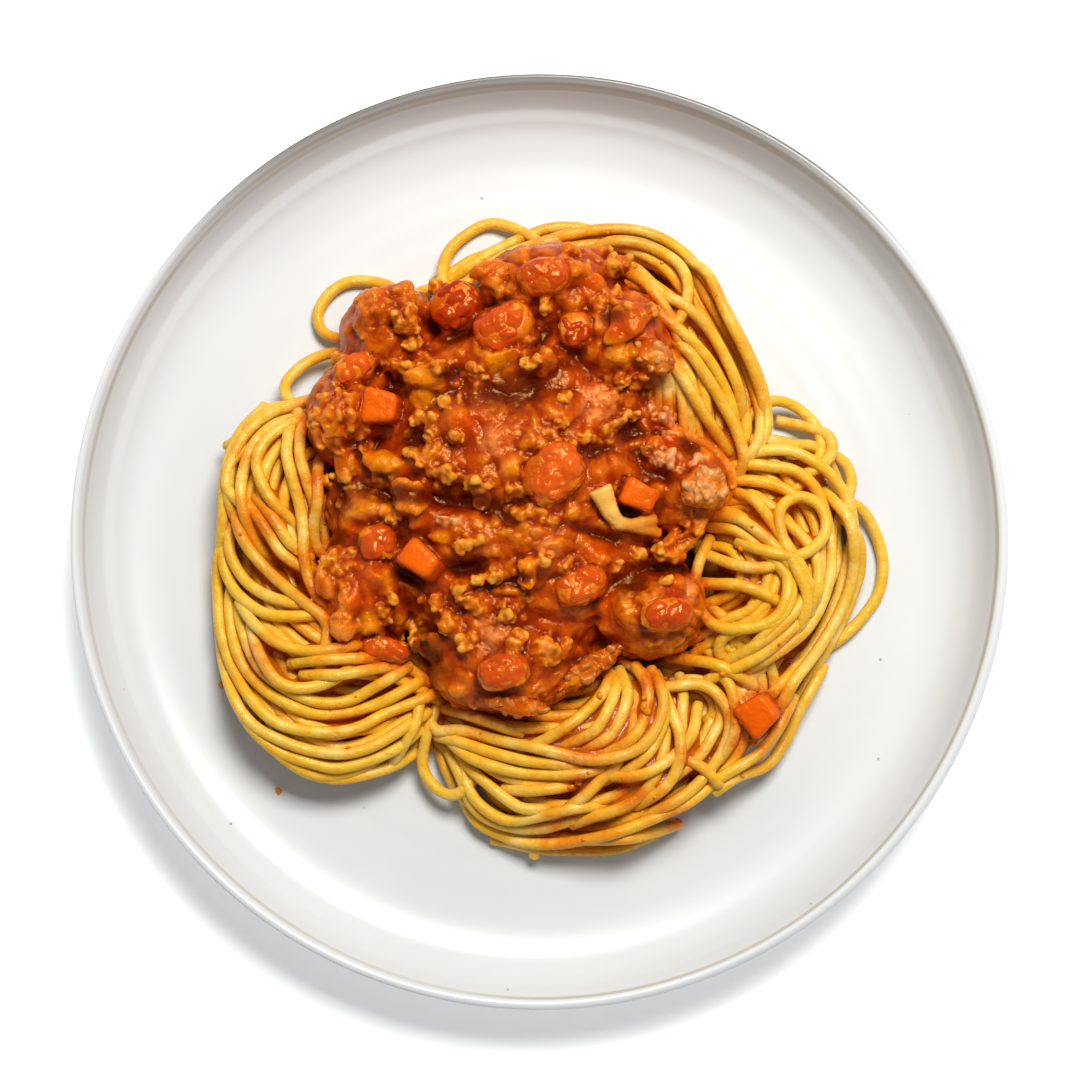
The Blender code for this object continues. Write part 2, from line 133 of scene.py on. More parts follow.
# an sRGB colour as the eye reads it, made linear
def paint(red, green, blue):
    return tuple((v / 255) ** 2.2 for v in (red, green, blue)) + (1,)


def newMaterial(name, fixed):
    made = bpy.data.materials.new(name)
    made.use_nodes = True
    tree = made.node_tree
    shader = tree.nodes["Principled BSDF"]
    for key, value in fixed.items():
        shader.inputs[key].default_value = value
    return made, Wire(tree), shader


def plug(wire, shader, key):
    wire.tree.links.new(wire.socket, shader.inputs[key])


# values that the mesh carries, by name
def stored(tree, *names):
    return [tree.node("Attribute", {"attribute_name": name}, out="Fac") for name in names]


def cloud(tree, scale, detail=3, rough=0.5, place=None):
    place = place or tree.node("TexCoord", out="Object")
    return tree.node("TexNoise", {}, {"Vector": place, "Scale": scale, "Detail": detail, "Roughness": rough})


def bumpy(height, strength, distance):
    return height.node("Bump", {}, {"Height": height, "Strength": strength, "Distance": distance})


# mesh helpers
def addPiece(name, mesh, material, slot, *nodes):
    piece = bpy.data.objects.new(name, mesh)
    bpy.context.scene.collection.objects.link(piece)
    mesh.materials.clear()
    mesh.materials.append(material)
    mesh.shade_smooth()
    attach(piece, body)
    if nodes:
        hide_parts(*nodes)
    return piece


def meshFrom(name, points, faces):
    mesh = bpy.data.meshes.new(name)
    mesh.from_pydata(points, [], faces)
    mesh.validate()
    mesh.update()
    return mesh


def setValues(mesh, name, values):
    layer = mesh.attributes.new(name, "FLOAT", "POINT")
    layer.data.foreach_set("value", np.asarray(values, np.float32))


def pointsOf(mesh):
    flat = np.empty(len(mesh.vertices) * 3, np.float32)
    mesh.vertices.foreach_get("co", flat)
    return flat.reshape(-1, 3).astype(np.float64)


def normalsOf(mesh):
    flat = np.empty(len(mesh.vertices) * 3, np.float32)
    mesh.vertex_normals.foreach_get("vector", flat)
    return flat.reshape(-1, 3).astype(np.float64)


def putPoints(mesh, points):
    mesh.vertices.foreach_set("co", points.astype(np.float32).ravel())
    mesh.update()


# each point moved towards the middle of its neighbours, a number of times
def relaxed(mesh, points, rounds, amount=0.5):
    edges = np.empty(len(mesh.edges) * 2, np.int32)
    mesh.edges.foreach_get("vertices", edges)
    a, b = edges.reshape(-1, 2).T
    count = np.bincount(a, minlength=len(points)) + np.bincount(b, minlength=len(points))
    count = np.maximum(count, 1)[:, None]
    points = points.copy()
    size = len(points)
    for _ in range(rounds):
        total = [np.bincount(a, points[b, k], size) + np.bincount(b, points[a, k], size) for k in range(3)]
        points += (np.stack(total, 1) / count - points) * amount
    return points


def remeshed(mesh, voxel):
    holder = bpy.data.objects.new("holder", mesh)
    bpy.context.scene.collection.objects.link(holder)
    modifier = holder.modifiers.new("Remesh", "REMESH")
    modifier.mode = "VOXEL"
    modifier.voxel_size = voxel
    bpy.context.view_layer.update()
    evaluated = holder.evaluated_get(bpy.context.evaluated_depsgraph_get())
    made = bpy.data.meshes.new_from_object(evaluated)
    bpy.data.objects.remove(holder)
    return made


# an uneven value from -1 to 1 for each point, from a few octaves of noise
def ruffle(points, size, octaves=3, shift=0.0):
    return np.array([noise.fractal(Vector(p) / size + Vector((shift, shift, shift)), 1.0, 2.0, octaves)
                     for p in points])


# packed grains: 0 in the seams between them, 1 on their crowns
def pebbles(points, size, shift=0.0):
    away = Vector((shift, shift, shift))
    near = np.array([noise.voronoi(Vector(p) / size + away)[0][:2] for p in points])
    seams = np.sqrt(np.clip((near[:, 1] - near[:, 0]) * 2.0, 0, 1))
    return seams * (1.08 - near[:, 0] ** 2 * 1.1)


# places pushed about a little, so that grains and lumps don't have straight seams;
# noise.noise_vector would do it, but it differs from run to run
def swirled(points, size, amount):
    push = [ruffle(points, size, 1, shift) for shift in (9.3, 0.0, 6.3)]
    return points + np.stack(push, 1) * amount


def treeOf(mesh):
    shape = bmesh.new()
    shape.from_mesh(mesh)
    tree = BVHTree.FromBMesh(shape)
    shape.free()
    return tree


def heightUnder(tree, x, y, top=0.06):
    hit = tree.ray_cast(Vector((x, y, top)), Vector((0, 0, -1)))
    return hit[0].z if hit[0] else None


# plate
plateLook = {
    "turns": 224,
    "wobble": 0.10 * mm,      # how far the lip waves up and down
    "pull": 0.0012,           # and in and out, as a share of the radius
    "thinLip": 1.1 * mm,      # how much thinner the lip is at the far left
    "fleckScale": 105.0,
    "ringScale": 42.0,
    "relief": 0.14,
    "ground": paint(210, 212, 214),
    "milky": paint(224, 225, 225),
    "speck": paint(120, 128, 134),
    "lipLine": paint(178, 170, 148),
    "farLip": paint(158, 152, 146),
    "farEdge": paint(92, 85, 76),
}
plateRadius, _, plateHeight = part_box("plate")[1]
plateSize = {
    "floor": 6.0 * mm,
    "sunk": 0.4 * mm,         # the floor's middle lies this much lower
    "floorRadius": 103.5 * mm,
    # the floor rises gently, then bends up into the wall, in millimetres
    "wall": [(70, 5.62), (90, 5.72), (96.5, 5.95), (101.5, 6.7), (105.5, 8.1), (108.8, 10.6), (111.2, 14.0),
             (112.6, 17.2), (113.5, 19.2)],
    "lip": 3.2 * mm,
    "lipStart": 19.3 * mm,
    "under": 1.7 * mm,
    "outerBend": 14.8 * mm,
    "foot": 80.0 * mm,
    "footWidth": 4.5 * mm,
    "footRound": 0.4 * mm,
}


# points about a step apart on a smooth curve through the places
def spaced(route, step):
    places = [Vector(place) for place in route]
    ends = [places[0] * 2 - places[1], *places, places[-1] * 2 - places[-2]]
    dense = []
    for a, b, c, d in zip(ends, ends[1:], ends[2:], ends[3:]):
        for i in range(16):
            t = i / 16
            dense.append(0.5 * ((2 * b) + (c - a) * t + (2 * a - 5 * b + 4 * c - d) * t * t
                                + (3 * b - a - 3 * c + d) * t ** 3))
    dense.append(places[-1])
    line = np.array([tuple(p) for p in dense])
    run = np.concatenate([[0], np.cumsum(np.linalg.norm(np.diff(line, axis=0), axis=1))])
    marks = np.linspace(0, run[-1], max(4, round(run[-1] / step)) + 1)
    return np.stack([np.interp(marks, run, line[:, k]) for k in range(line.shape[1])], 1)


def arc(x, z, radius, start, end, steps):
    angles = [math.radians(start + (end - start) * i / steps) for i in range(steps + 1)]
    return [(x + radius * math.cos(a), z + radius * math.sin(a)) for a in angles]


def plateSection():
    s = plateSize
    half = s["lip"] / 2
    inner = s["foot"] - s["footWidth"]
    line = [(x * mm, s["floor"] - s["sunk"]) for x in (0.01, 6, 12, 20, 30, 40, 50, 60)]
    line += [(x * mm, z * mm) for x, z in spaced(s["wall"], 1.1)]
    line += arc(plateRadius - half, plateHeight - half, half, 160, -10, 14)
    line += arc(s["floorRadius"] - 1.7 * mm, s["under"] + s["outerBend"], s["outerBend"], -18, -88, 12)
    # down one side of the foot ring, up the other and back to the middle
    line += [(s["foot"] + 1.5 * mm, s["under"] + 0.1 * mm), (s["foot"] + s["footRound"], 0.5 * mm)]
    line += [(s["foot"], 0), (inner, 0), (inner - s["footRound"], 0.5 * mm)]
    line += [(inner - 1.5 * mm, s["under"]), (0.01 * mm, s["under"])]
    return line


def plateMaterial():
    made, tree, shader = newMaterial("stoneware_glaze", {
        "Roughness": 0.3, "Coat Weight": 0.15, "Coat Roughness": 0.12, "IOR": 1.45})
    look = plateLook
    place = tree.node("TexCoord", out="Object")
    x, y, z = place.parts()
    flat = tree.node("CombineXYZ", values={"X": x, "Y": y})
    radius = flat.node("VectorMath", {"operation": "LENGTH"}, {0: flat}, out=1)
    mottle = cloud(tree, 14, 2, 0.5, place)
    fleck = tree.node("TexVoronoi", {}, {"Vector": flat, "Scale": look["fleckScale"], "Randomness": 1.0})
    rare = cloud(tree, 75, 1, 0.5, place).step(0.5, 0.56)
    flecked = (1 - fleck.step(0.03, 0.05)) * rare * 0.75
    base = flecked.mix(mottle.mix(look["ground"], look["milky"]), look["speck"])
    # along the far side the lip is painted greyer, and darker still towards its outer edge
    far = y.step(60 * mm, 108 * mm) * z.step(plateHeight - 2.6 * mm, plateHeight - 1.6 * mm)
    rimmed = radius.step(plateRadius - 3.4 * mm, plateRadius - 2.4 * mm)
    base = (far * rimmed * 0.75).mix(base, look["farLip"])
    outer = radius.step(plateRadius - 2.2 * mm, plateRadius - 0.4 * mm)
    base = (far * outer * 0.85).mix(base, look["farEdge"])
    # a fine line runs round the lip's inner edge
    offLine = radius - (plateRadius - plateSize["lip"] + 0.15 * mm)
    lip = 1 - offLine.maths("ABSOLUTE", offLine).step(0.15 * mm, 0.5 * mm)
    base = (lip * (mottle.step(0.25, 0.6) * 0.45 + 0.3)).mix(base, look["lipLine"])
    plug(base, shader, "Base Color")
    wheel = {"wave_type": "RINGS", "rings_direction": "Z", "wave_profile": "SIN"}
    rings = tree.node("TexWave", wheel, {"Vector": place, "Scale": look["ringScale"], "Distortion": 1.2,
                                         "Detail": 1.0, "Detail Scale": 0.6})
    relief = rings * 0.5 + cloud(tree, 160, 2, 0.5, place) * 0.15 + cloud(tree, 22, 1, 0.5, place)
    plug(bumpy(relief, look["relief"], 0.5 * mm), shader, "Normal")
    plug(mottle * 0.12 + 0.24, shader, "Roughness")
    return made


def buildPlate():
    look = plateLook
    section = plateSection()
    lipStart = next(k for k, (x, z) in enumerate(section) if z > plateSize["lipStart"])
    turns = look["turns"]
    points = []
    for i in range(turns):
        a = math.tau * i / turns
        way = Vector((math.cos(a), math.sin(a), 0))
        for k, (x, z) in enumerate(section):
            share = min(1, x / plateRadius) ** 2
            dip = look["wobble"] * share * (noise.noise(way * 1.3) - 0.5)
            pull = 1 - look["pull"] * share * (0.6 + noise.noise(way * 1.7 + Vector((5, 0, 0))))
            thin = 0.0
            if x >= 108 * mm and k <= lipStart + 9:
                thin = look["thinLip"] * (1 - math.cos(a + 0.7)) / 2
            rise = z + min(0, dip) if z > 3 * mm else z
            out = min(x * pull + thin, plateRadius * pull - 0.05 * mm)
            points.append((way.x * out, way.y * out, rise))
    n = len(section)
    faces = []
    for i in range(turns):
        here, there = i * n, (i + 1) % turns * n
        faces += [(here + k, here + k + 1, there + k + 1, there + k) for k in range(n - 1)]
    faces.append([i * n for i in range(turns)])
    faces.append([i * n + n - 1 for i in reversed(range(turns))])
    mesh = meshFrom("stoneware_plate", points, faces)
    shape = bmesh.new()
    shape.from_mesh(mesh)
    bmesh.ops.recalc_face_normals(shape, faces=shape.faces)
    shape.to_mesh(mesh)
    shape.free()
    return addPiece("stoneware_plate", mesh, plateMaterial(), "glaze", "plate")


buildPlate()
print("plate turned")


# meat sauce
sauceLook = {
    "voxel": 0.56 * mm,
    "underside": 0.1,         # share of the hidden underside's faces that is kept
    "seed": 7,
    "grainRoom": 5.2,         # square millimetres of a lump of meat for each of its grains
    "grainSize": (0.9, 1.9),
    "strays": 520,            # single grains strewn over the whole, within x and y
    "strayArea": ((-58, 48), (-46, 74)),
    "straySizes": (0.55, 0.7, 0.9, 1.2),
    "mound": 1.9,             # heights of the relief, in millimetres: mounds, swells, ripples, fine ripples
    "swell": 0.8,
    "ripple": 0.3,
    "fineRipple": 0.1,
    "grainRise": 1.1,         # and of packed grains, large and small
    "fineGrainRise": 0.6,
    "pool": 0.42 * mm,        # how deep a pit stays open before sauce fills it
    "shadeDepth": 3.4,         # a valley this deep gets the full painted shade
    "press": 3,               # how far under the solid's top the highest lumps begin to be pressed in
    "red": paint(218, 96, 0),
    # a darker red: painted shade in low places, and random specks
    "deep": paint(158, 46, 0),
    "shade": paint(74, 16, 0),
    "orange": paint(240, 140, 14),
    "tomato": paint(212, 66, 0),
    "crumb": paint(208, 118, 18),
    "grain": paint(240, 172, 66),
    "pale": paint(228, 164, 118),
    # pale orange of the painted sheen
    "wet": paint(236, 132, 66),
    "gleam": (1.0, 0.66, 0.24, 1),
    # how far the sauce stays under the top of each cut piece
    "coats": {"carrot": -0.4 * mm, "onion": -0.35 * mm, "tomato": -0.55 * mm, "meat": -0.3 * mm},
}
# Lumps in the sauce, in millimetres: (x, y, length, width, height, turn, how far out, kind)
sauceLumps = [
    # the first nine lumps carry a painted sheen: pale orange where the sauce catches the light
    (-8, 50, 9, 7, 4, 0, 0.6, "wet"), (14, 31, 10, 8, 4, 0, 0.6, "wet"),
    (-11, 22, 9, 6, 4, 30, 0.8, "wet"), (2, -4, 14, 5, 3, 10, 0.6, "wet"),
    (7, -14, 12, 9, 5, -20, 0.8, "wet"), (-10, -24, 12, 9, 5, 20, 2.6, "wet"),
    (-9, -33, 12, 8, 5, 0, 1.0, "wet"), (36, -14, 7, 5, 4, 0, 0.8, "wet"),
    (-44, 30, 7, 6, 4, 0, 1.0, "wet"), (14, -26, 11, 7, 7, 20, 0.0, "red"),
    (18, -22, 8, 7, 6, 0, 0.0, "red"), (26, 33, 12, 10, 7, 30, 0.6, "meat"),
    (30, 27.5, 9, 9, 7, 0, 0.8, "meat"), (33, 23, 8, 8, 6, 0, 0.6, "red"),
    (-38, 55, 18, 14, 10, 30, 2.4, "meat"), (-33, 52, 7, 7, 5, 0, 3.4, "tan"),
    (-32, 47, 5, 5, 4, 0, 2.6, "tan"), (-29, 43, 5, 5, 4, 0, 2.6, "tan"),
    (-37, 42, 4, 4, 4, 0, 2.2, "tan"), (-33, 41, 5, 3.5, 3, 0, 2.2, "tan"),
    (-25, 40, 4, 3.5, 3.5, 0, 2.4, "tan"), (-28.5, 38, 11, 5, 5, 0, 1.4, "orange"),
    (-50, 44, 5, 4, 4, 0, 1.6, "meat"), (-26, 62, 4, 4, 3, 0, 1.6, "tan"),
    (-22.5, 62, 4, 3.5, 3, 0, 1.6, "tan"), (-12, 65, 12, 5, 4, 10, 1.2, "red"),
    (-2, 65.5, 9, 4, 4, 14, 2.2, "orange"), (0, 60, 12, 9, 6, 0, 1.4, "orange"),
    (-11, 43, 17, 7, 6, 42, 1.8, "orange"), (-16, 39, 5, 4.5, 4, 40, 2.8, "tan"),
    (1, 55.5, 3.2, 5, 3, 0, 1.8, "tan"), (-3, 40.5, 3, 2.6, 2.4, 0, 1.4, "tan"),
    (-0.6, 41.5, 2.4, 2.2, 2, 0, 1.2, "tan"), (5, 26.5, 6, 3, 3, 20, 1.4, "tan"),
    (6, 33, 2.2, 4, 2.4, 0, 1.4, "tan"), (-49, 28, 16, 17, 9, 0, 2.0, "meat"),
    (-48, 33, 6, 3, 3, 10, 2.6, "tan"), (-47, 29, 4, 4, 3, 0, 2.4, "tan"),
    (-28, 33.5, 9, 7, 5, 0, 1.2, "orange"), (-23.5, 32, 3, 2.4, 2, 0, 2.0, "tan"),
    (-30.5, 28, 3, 3, 3, 0, 1.8, "tan"), (-27, 27.5, 3.2, 3, 3, 0, 1.8, "tan"),
    (-27, 24, 4, 4, 3.4, 0, 2.2, "tan"), (-26, 21, 3, 4, 3, 0, 2.0, "tan"),
    (-20.5, 23, 4, 3.4, 3, 0, 2.0, "tan"), (-42.5, 22, 4, 2.8, 3, 10, 2.0, "tan"),
    (-30, 19, 5, 3.2, 3.4, -45, 2.2, "tan"), (-27.5, 16.5, 4.5, 3.2, 3.2, -40, 2.0, "tan"),
    (-22.5, 13.5, 7, 4, 4, -32, 2.4, "tan"), (-16, 11.5, 9, 3.4, 3.4, -24, 1.8, "tan"),
    (-19, 27, 9, 7, 4, 20, 1.2, "red"), (-10, 22.5, 10, 6, 4, 30, 1.4, "red"),
    (8, 65, 8, 5, 4, 0, 2.0, "meat"), (18, 66, 6, 6, 4, 0, 2.2, "meat"), (7, 70, 5, 4, 4, 0, 1.8, "meat"),
    (15, 71, 6, 4, 4, 0, 1.8, "meat"), (20.5, 68, 5, 4, 4, 0, 1.8, "meat"),
    (13, 61, 8, 7, 5, 0, 1.6, "red"), (16, 57.5, 9, 5, 4, 20, 1.6, "meat"),
    (27, 54, 5, 5, 4, 0, 2.0, "meat"), (21, 49.5, 13, 6, 4, 30, 1.6, "red"),
    (20, 44, 10, 6, 4, 0, 1.4, "orange"), (20, 38, 5, 5, 4, 0, 2.0, "tan"),
    (24, 42, 4, 4, 4, 0, 2.0, "meat"), (26, 39.5, 5, 4, 4, 0, 2.0, "meat"),
    (14, 33, 12, 8, 4, 20, 1.2, "red"), (29, 30, 7, 6, 5, 0, 2.4, "pale"),
    (30, 24.5, 6, 5, 4, 0, 2.2, "pale"), (22.5, 29, 3.4, 3, 3, 0, 1.8, "tan"),
    (31.5, 18.5, 7, 5, 4, 10, 2.2, "pale"), (27, 20, 5, 4, 4, 0, 1.8, "meat"),
    (18, 26, 8, 3, 3, 40, 1.6, "tan"), (11, 23, 4, 3, 3, 0, 1.6, "tan"),
    (38.5, 17, 4, 4, 3, 0, 2.2, "pale"), (24, -5, 6, 3.4, 3.4, -30, 2.2, "tan"),
    (29, -4, 3.4, 3, 3, 0, 1.8, "tan"), (34, -2, 8, 6, 5, 0, 1.8, "meat"),
    (38, 3, 7, 6, 5, 0, 1.6, "meat"), (2, -3, 10, 4, 3, 8, 1.4, "red"), (1, -7, 3, 3, 3, 0, 1.6, "tan"),
    (7, -7.5, 3, 3, 3, 0, 1.4, "tan"), (19, -8, 3.2, 3, 3, 0, 1.4, "tan"),
    (13.5, -6, 9, 5, 4, -10, 1.2, "red"), (16, -17, 7, 8, 5, 0, 1.0, "red"),
    (32, -12, 8, 7, 5, 0, 1.6, "red"), (31, -11, 3, 3, 2.6, 0, 3.0, "tan"),
    (-12, -22, 24, 22, 12, 20, 2.2, "orange"), (-8, -20.5, 5, 4, 3, 0, 4.0, "tan"),
    (-22, -21, 5, 6, 4, 0, 3.0, "tan"), (-25, -17, 5, 5, 4, 0, 2.0, "tan"),
    (-17, -17, 5, 4, 4, 0, 3.0, "tan"), (-18, -27, 6, 5, 4, 0, 2.6, "tan"),
    (-6, -27, 7, 4, 4, 30, 3.0, "tan"), (-20, -13.5, 5, 3, 3, 0, 2.0, "tan"),
    (-15, -12, 3.4, 3, 3, 0, 2.0, "tan"), (-11, -11, 3.4, 3, 3, 0, 2.0, "tan"),
    (1, -28.5, 8, 7, 5, 0, 1.4, "meat"), (-49.5, -7, 8, 10, 6, 0, 1.8, "tan"),
    (-46, -16, 8, 9, 5, 0, 0.8, "red"), (-41, -11, 6, 4, 4, 0, 1.4, "red"),
    (-17, -3, 10, 2.6, 3, 12, 2.2, "tan"), (-24, -1.5, 8, 3, 3, -10, 1.4, "orange"),
    (-37, -15.5, 3.2, 4.5, 3, 0, 2.2, "tan"), (-38, -20.5, 3, 4.5, 3, 0, 2.0, "tan"),
    (-30, -22, 6, 8, 5, 0, 1.6, "orange"), (-42, -22, 5, 7, 4, 0, 1.4, "orange"),
    (-31, -26, 3, 6, 3, 0, 2.0, "tan"), (-20, -38, 6, 5, 5, 0, 1.6, "red"),
    (-46, 15.5, 10, 5, 5, 12, 2.0, "tan"), (-38, 17, 9, 5, 4, 0, 1.4, "orange"),
    (-53, 14, 3, 3, 3, 0, 1.2, "tan"), (-34, 11, 6, 5, 4, 20, 1.6, "red"),
    (-36, 6, 9, 7, 5, 0, 1.4, "orange"), (-35, 4.5, 5, 3, 3, 20, 2.6, "tan"),
    (-29, 3, 8, 4, 4, 30, 1.2, "red"), (-46, 2, 8, 5, 4, -20, 1.0, "red"),
    (-22.5, 3, 5, 3, 3, 0, 1.2, "pale"),
]
# Valleys where sauce lies low and painted shade goes, in millimetres: (x, y, half length, half width, turn,
# depth)
sauceDents = [
    (-29, -28, 3.4, 5.0, -20, 2.6), (-37, -24, 2.0, 4.0, 10, 2.4), (-52, -2, 4.0, 2.0, 0, 2.2),
    (30, 14, 5.0, 1.8, -20, 2.2), (25, 20, 4.0, 2.0, 0, 2.4), (-24, 8, 5.0, 2.0, -20, 2.6),
    (-40, -2, 5.0, 1.8, 10, 2.4), (0, 47, 6.0, 1.6, 60, 2.2), (-8, 34.5, 11, 4.2, 4, 3.6),
    (-36, 37.2, 2.2, 1.8, 0, 4.0), (-31, 23, 3.4, 2.6, 20, 3.2), (-33, 9, 15, 2.4, -8, 3.4),
    (-14, 7, 9, 2.6, -30, 3.4), (-18, -8.5, 4.6, 2.2, 0, 5.0), (-32, -10, 3.4, 2.0, -30, 3.6),
    (-29, -35, 4.5, 3, 20, 4.0), (-20, 49.5, 5.5, 2.0, 20, 3.4), (-27, 52, 3.2, 1.6, -50, 3.2),
    (-22, 38.5, 2.6, 2.2, 40, 3.4), (20, 64, 2.6, 2.0, 0, 3.0), (22, 25, 4.0, 3.0, 0, 3.2),
    (14, 20, 3.6, 2.4, 0, 2.6), (17, 53, 3.4, 2.4, 0, 2.0), (21, 5, 2.6, 2.4, 0, 3.4),
    (31, -8.5, 7.0, 1.8, 0, 4.6), (37, 22, 3.0, 2.4, 30, 3.2), (23, -12, 5.0, 2.6, 20, 3.4),
    (-45, 22.5, 6, 1.3, 6, 2.4), (-10, 56.5, 4.0, 2.0, 20, 2.4), (-50, 8, 4.4, 4.0, 0, 2.6),
    (6, 42, 6.0, 3.4, 30, 2.2), (-7, -12, 8.0, 1.6, 10, 2.6), (8, -31, 6.0, 1.4, 30, 1.4),
    (-27, -30, 3.0, 3.0, 0, 3.0), (-43, 37.5, 1.6, 1.4, 0, 1.4), (13, 0, 8.0, 1.4, -14, 1.8),
    (-3, 8, 7.0, 1.6, 10, 2.0),
]
chunkNodes = [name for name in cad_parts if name.split("_")[0] in ("carrot", "tomato", "onion", "meat")
              and name != "meat_sauce"]


def ball(shape, centre, radii, turn=0.0, detail=2):
    made = bmesh.ops.create_icosphere(shape, subdivisions=detail, radius=1)
    c, s = math.cos(turn), math.sin(turn)
    for vertex in made["verts"]:
        x, y, z = (v * r for v, r in zip(vertex.co, radii))
        vertex.co = Vector((x * c - y * s, x * s + y * c, z)) + Vector(centre)


# a cluster of minced grains over an oval patch: their places and sizes
def clusterOf(x, y, z, length, width, height, turn, rng):
    count = max(3, int(length * width / sauceLook["grainRoom"]))
    grains = []
    for _ in range(count):
        a, out = rng.uniform(0, math.tau), math.sqrt(rng.random())
        u, v = math.cos(a) * out * length / 2, math.sin(a) * out * width / 2
        c, s = math.cos(turn), math.sin(turn)
        px, py = x + u * c - v * s, y + u * s + v * c
        lift = height / 2 * math.sqrt(max(0.05, 1 - out * out))
        grains.append((px, py, z + lift - 0.5, rng.uniform(*sauceLook["grainSize"])))
    return grains


def sauceShape():
    look = sauceLook
    rng = random.Random(look["seed"])
    source = solidOf("meat_sauce")
    tops = treeOf(source)
    shape = bmesh.new()
    shape.from_mesh(source)
    for name in chunkNodes:
        mesh = solidOf(name)
        points = pointsOf(mesh)
        middle = points.mean(0)
        putPoints(mesh, middle + (points - middle) * (1.0, 1.0, 0.97))
        shape.from_mesh(mesh)
    marks = []
    for x, y, length, width, height, turn, out, kind in sauceLumps:
        top = heightUnder(tops, x * mm, y * mm) or tops.find_nearest(Vector((x, y, 26)) * mm)[0].z
        z = top / mm + out - height / 2
        swing = math.radians(turn)
        ball(shape, (x * mm, y * mm, z * mm), (length * mm / 2, width * mm / 2, height * mm / 2), swing)
        if kind in ("tan", "meat", "pale"):
            for gx, gy, gz, radius in clusterOf(x, y, z, length, width, height, swing, rng):
                radii = [radius * rng.uniform(0.75, 1.2) * mm for _ in range(3)]
                ball(shape, (gx * mm, gy * mm, gz * mm), radii, rng.uniform(0, 3), 1)
                marks.append((gx, gy, gz, radius, kind))
        marks.append((x, y, z, min(length, width) / 2, kind))
    # stray grains everywhere else
    for _ in range(look["strays"]):
        x, y = (rng.uniform(*span) for span in look["strayArea"])
        top = heightUnder(tops, x * mm, y * mm)
        radius = rng.choice(look["straySizes"])
        if top is None or noise.noise(Vector((x, y, 3)) / 9) < 0.02:
            continue
        z = top / mm + rng.uniform(-0.2, 0.5) * radius
        ball(shape, (x * mm, y * mm, z * mm), [radius * rng.uniform(0.8, 1.5) * mm for _ in range(3)],
             rng.uniform(0, 3), 1)
        if radius > 0.8:
            marks.append((x, y, z, radius, "meat"))
    mesh = bpy.data.meshes.new("sauce_parts")
    shape.to_mesh(mesh)
    shape.free()
    return mesh, marks


def solidOf(node):
    return bpy.data.objects[node].data.copy()


# fewer faces where the sauce lies on the pasta and nothing shows
def thinned(mesh, share):
    points, normals = pointsOf(mesh), normalsOf(mesh)
    tops = treeOf(mesh)
    hidden = []
    for i, (point, normal) in enumerate(zip(points, normals)):
        if normal[2] < 0.15:
            top = heightUnder(tops, point[0], point[1])
            if top is not None and top - point[2] > 3.0 * mm:
                hidden.append(i)
    holder = bpy.data.objects.new("holder", mesh)
    bpy.context.scene.collection.objects.link(holder)
    holder.vertex_groups.new(name="hidden").add(hidden, 1.0, "REPLACE")
    modifier = holder.modifiers.new("Decimate", "DECIMATE")
    modifier.vertex_group = "hidden"
    modifier.ratio = 1 - (1 - share) * len(hidden) / len(points)
    bpy.context.view_layer.update()
    made = bpy.data.meshes.new_from_object(holder.evaluated_get(bpy.context.evaluated_depsgraph_get()))
    bpy.data.objects.remove(holder)
    return made


# broad mounds, and valleys that get painted shade; all of a column moves together, so nothing folds
def mounded(points):
    look = sauceLook
    flat = swirled(points / mm * (1, 1, 0), 6.0, 1.8)
    mounds = (pebbles(flat, 10.5, 5.0) - 0.5) * look["mound"]
    points[:, 2] += (mounds + ruffle(flat, 6.5, 2, 2.0) * look["swell"]) * mm
    dark = np.zeros(len(points))
    for x, y, long, wide, turn, depth in sauceDents:
        c, s = math.cos(math.radians(turn)), math.sin(math.radians(turn))
        dx, dy = points[:, 0] / mm - x, points[:, 1] / mm - y
        u, v = (dx * c + dy * s) / long, (dy * c - dx * s) / wide
        near = np.exp(-(u * u + v * v) * 0.9)
        points[:, 2] -= depth * mm * near
        dark = np.maximum(dark, near * min(1, depth / look["shadeDepth"]))
    return points, dark


# how far each point stands out from a smoother surface, along its normal
def standing(mesh, points, normals, rounds):
    smooth = relaxed(mesh, points, rounds)
    return ((points - smooth) * normals).sum(1), smooth


# packed grains where the meat is, and fine ripples, along the normals of a smoother copy
def grained(mesh, points, grainy, facingUp):
    look = sauceLook
    places = swirled(points / mm, 4.0, 1.2)
    fine = ruffle(points / mm, 2.8, 3, 7.0) * look["ripple"]
    fine += ruffle(points / mm, 1.2, 2) * look["fineRipple"]
    large = (pebbles(places, 3.4) - 0.35) * look["grainRise"]
    small = (pebbles(places, 1.6, 9.0) - 0.4) * look["fineGrainRise"]
    fine += grainy * (large + small)
    calm = mesh.copy()
    putPoints(calm, relaxed(mesh, points, 8))
    points += normalsOf(calm) * (fine * mm * facingUp)[:, None]
    bpy.data.meshes.remove(calm)
    return points


# the cut pieces stand clear of the sauce
def underChunks(mesh, points):
    pressed = np.zeros(len(points), bool)
    for node in chunkNodes:
        low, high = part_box(node)
        tree = treeOf(bpy.data.objects[node].data)
        coat = sauceLook["coats"][node.split("_")[0]]
        beside = ((points[:, :2] > low[:2]) & (points[:, :2] < high[:2])).all(1)
        for i in np.nonzero(beside & (points[:, 2] > low[2]))[0]:
            top = heightUnder(tree, points[i, 0], points[i, 1])
            if top is not None:
                pressed[i] = points[i, 2] > top + coat
                points[i, 2] = min(points[i, 2], top + coat)
    points[pressed] = relaxed(mesh, points, 4)[pressed]
    return relaxed(mesh, points, 1, 0.3)


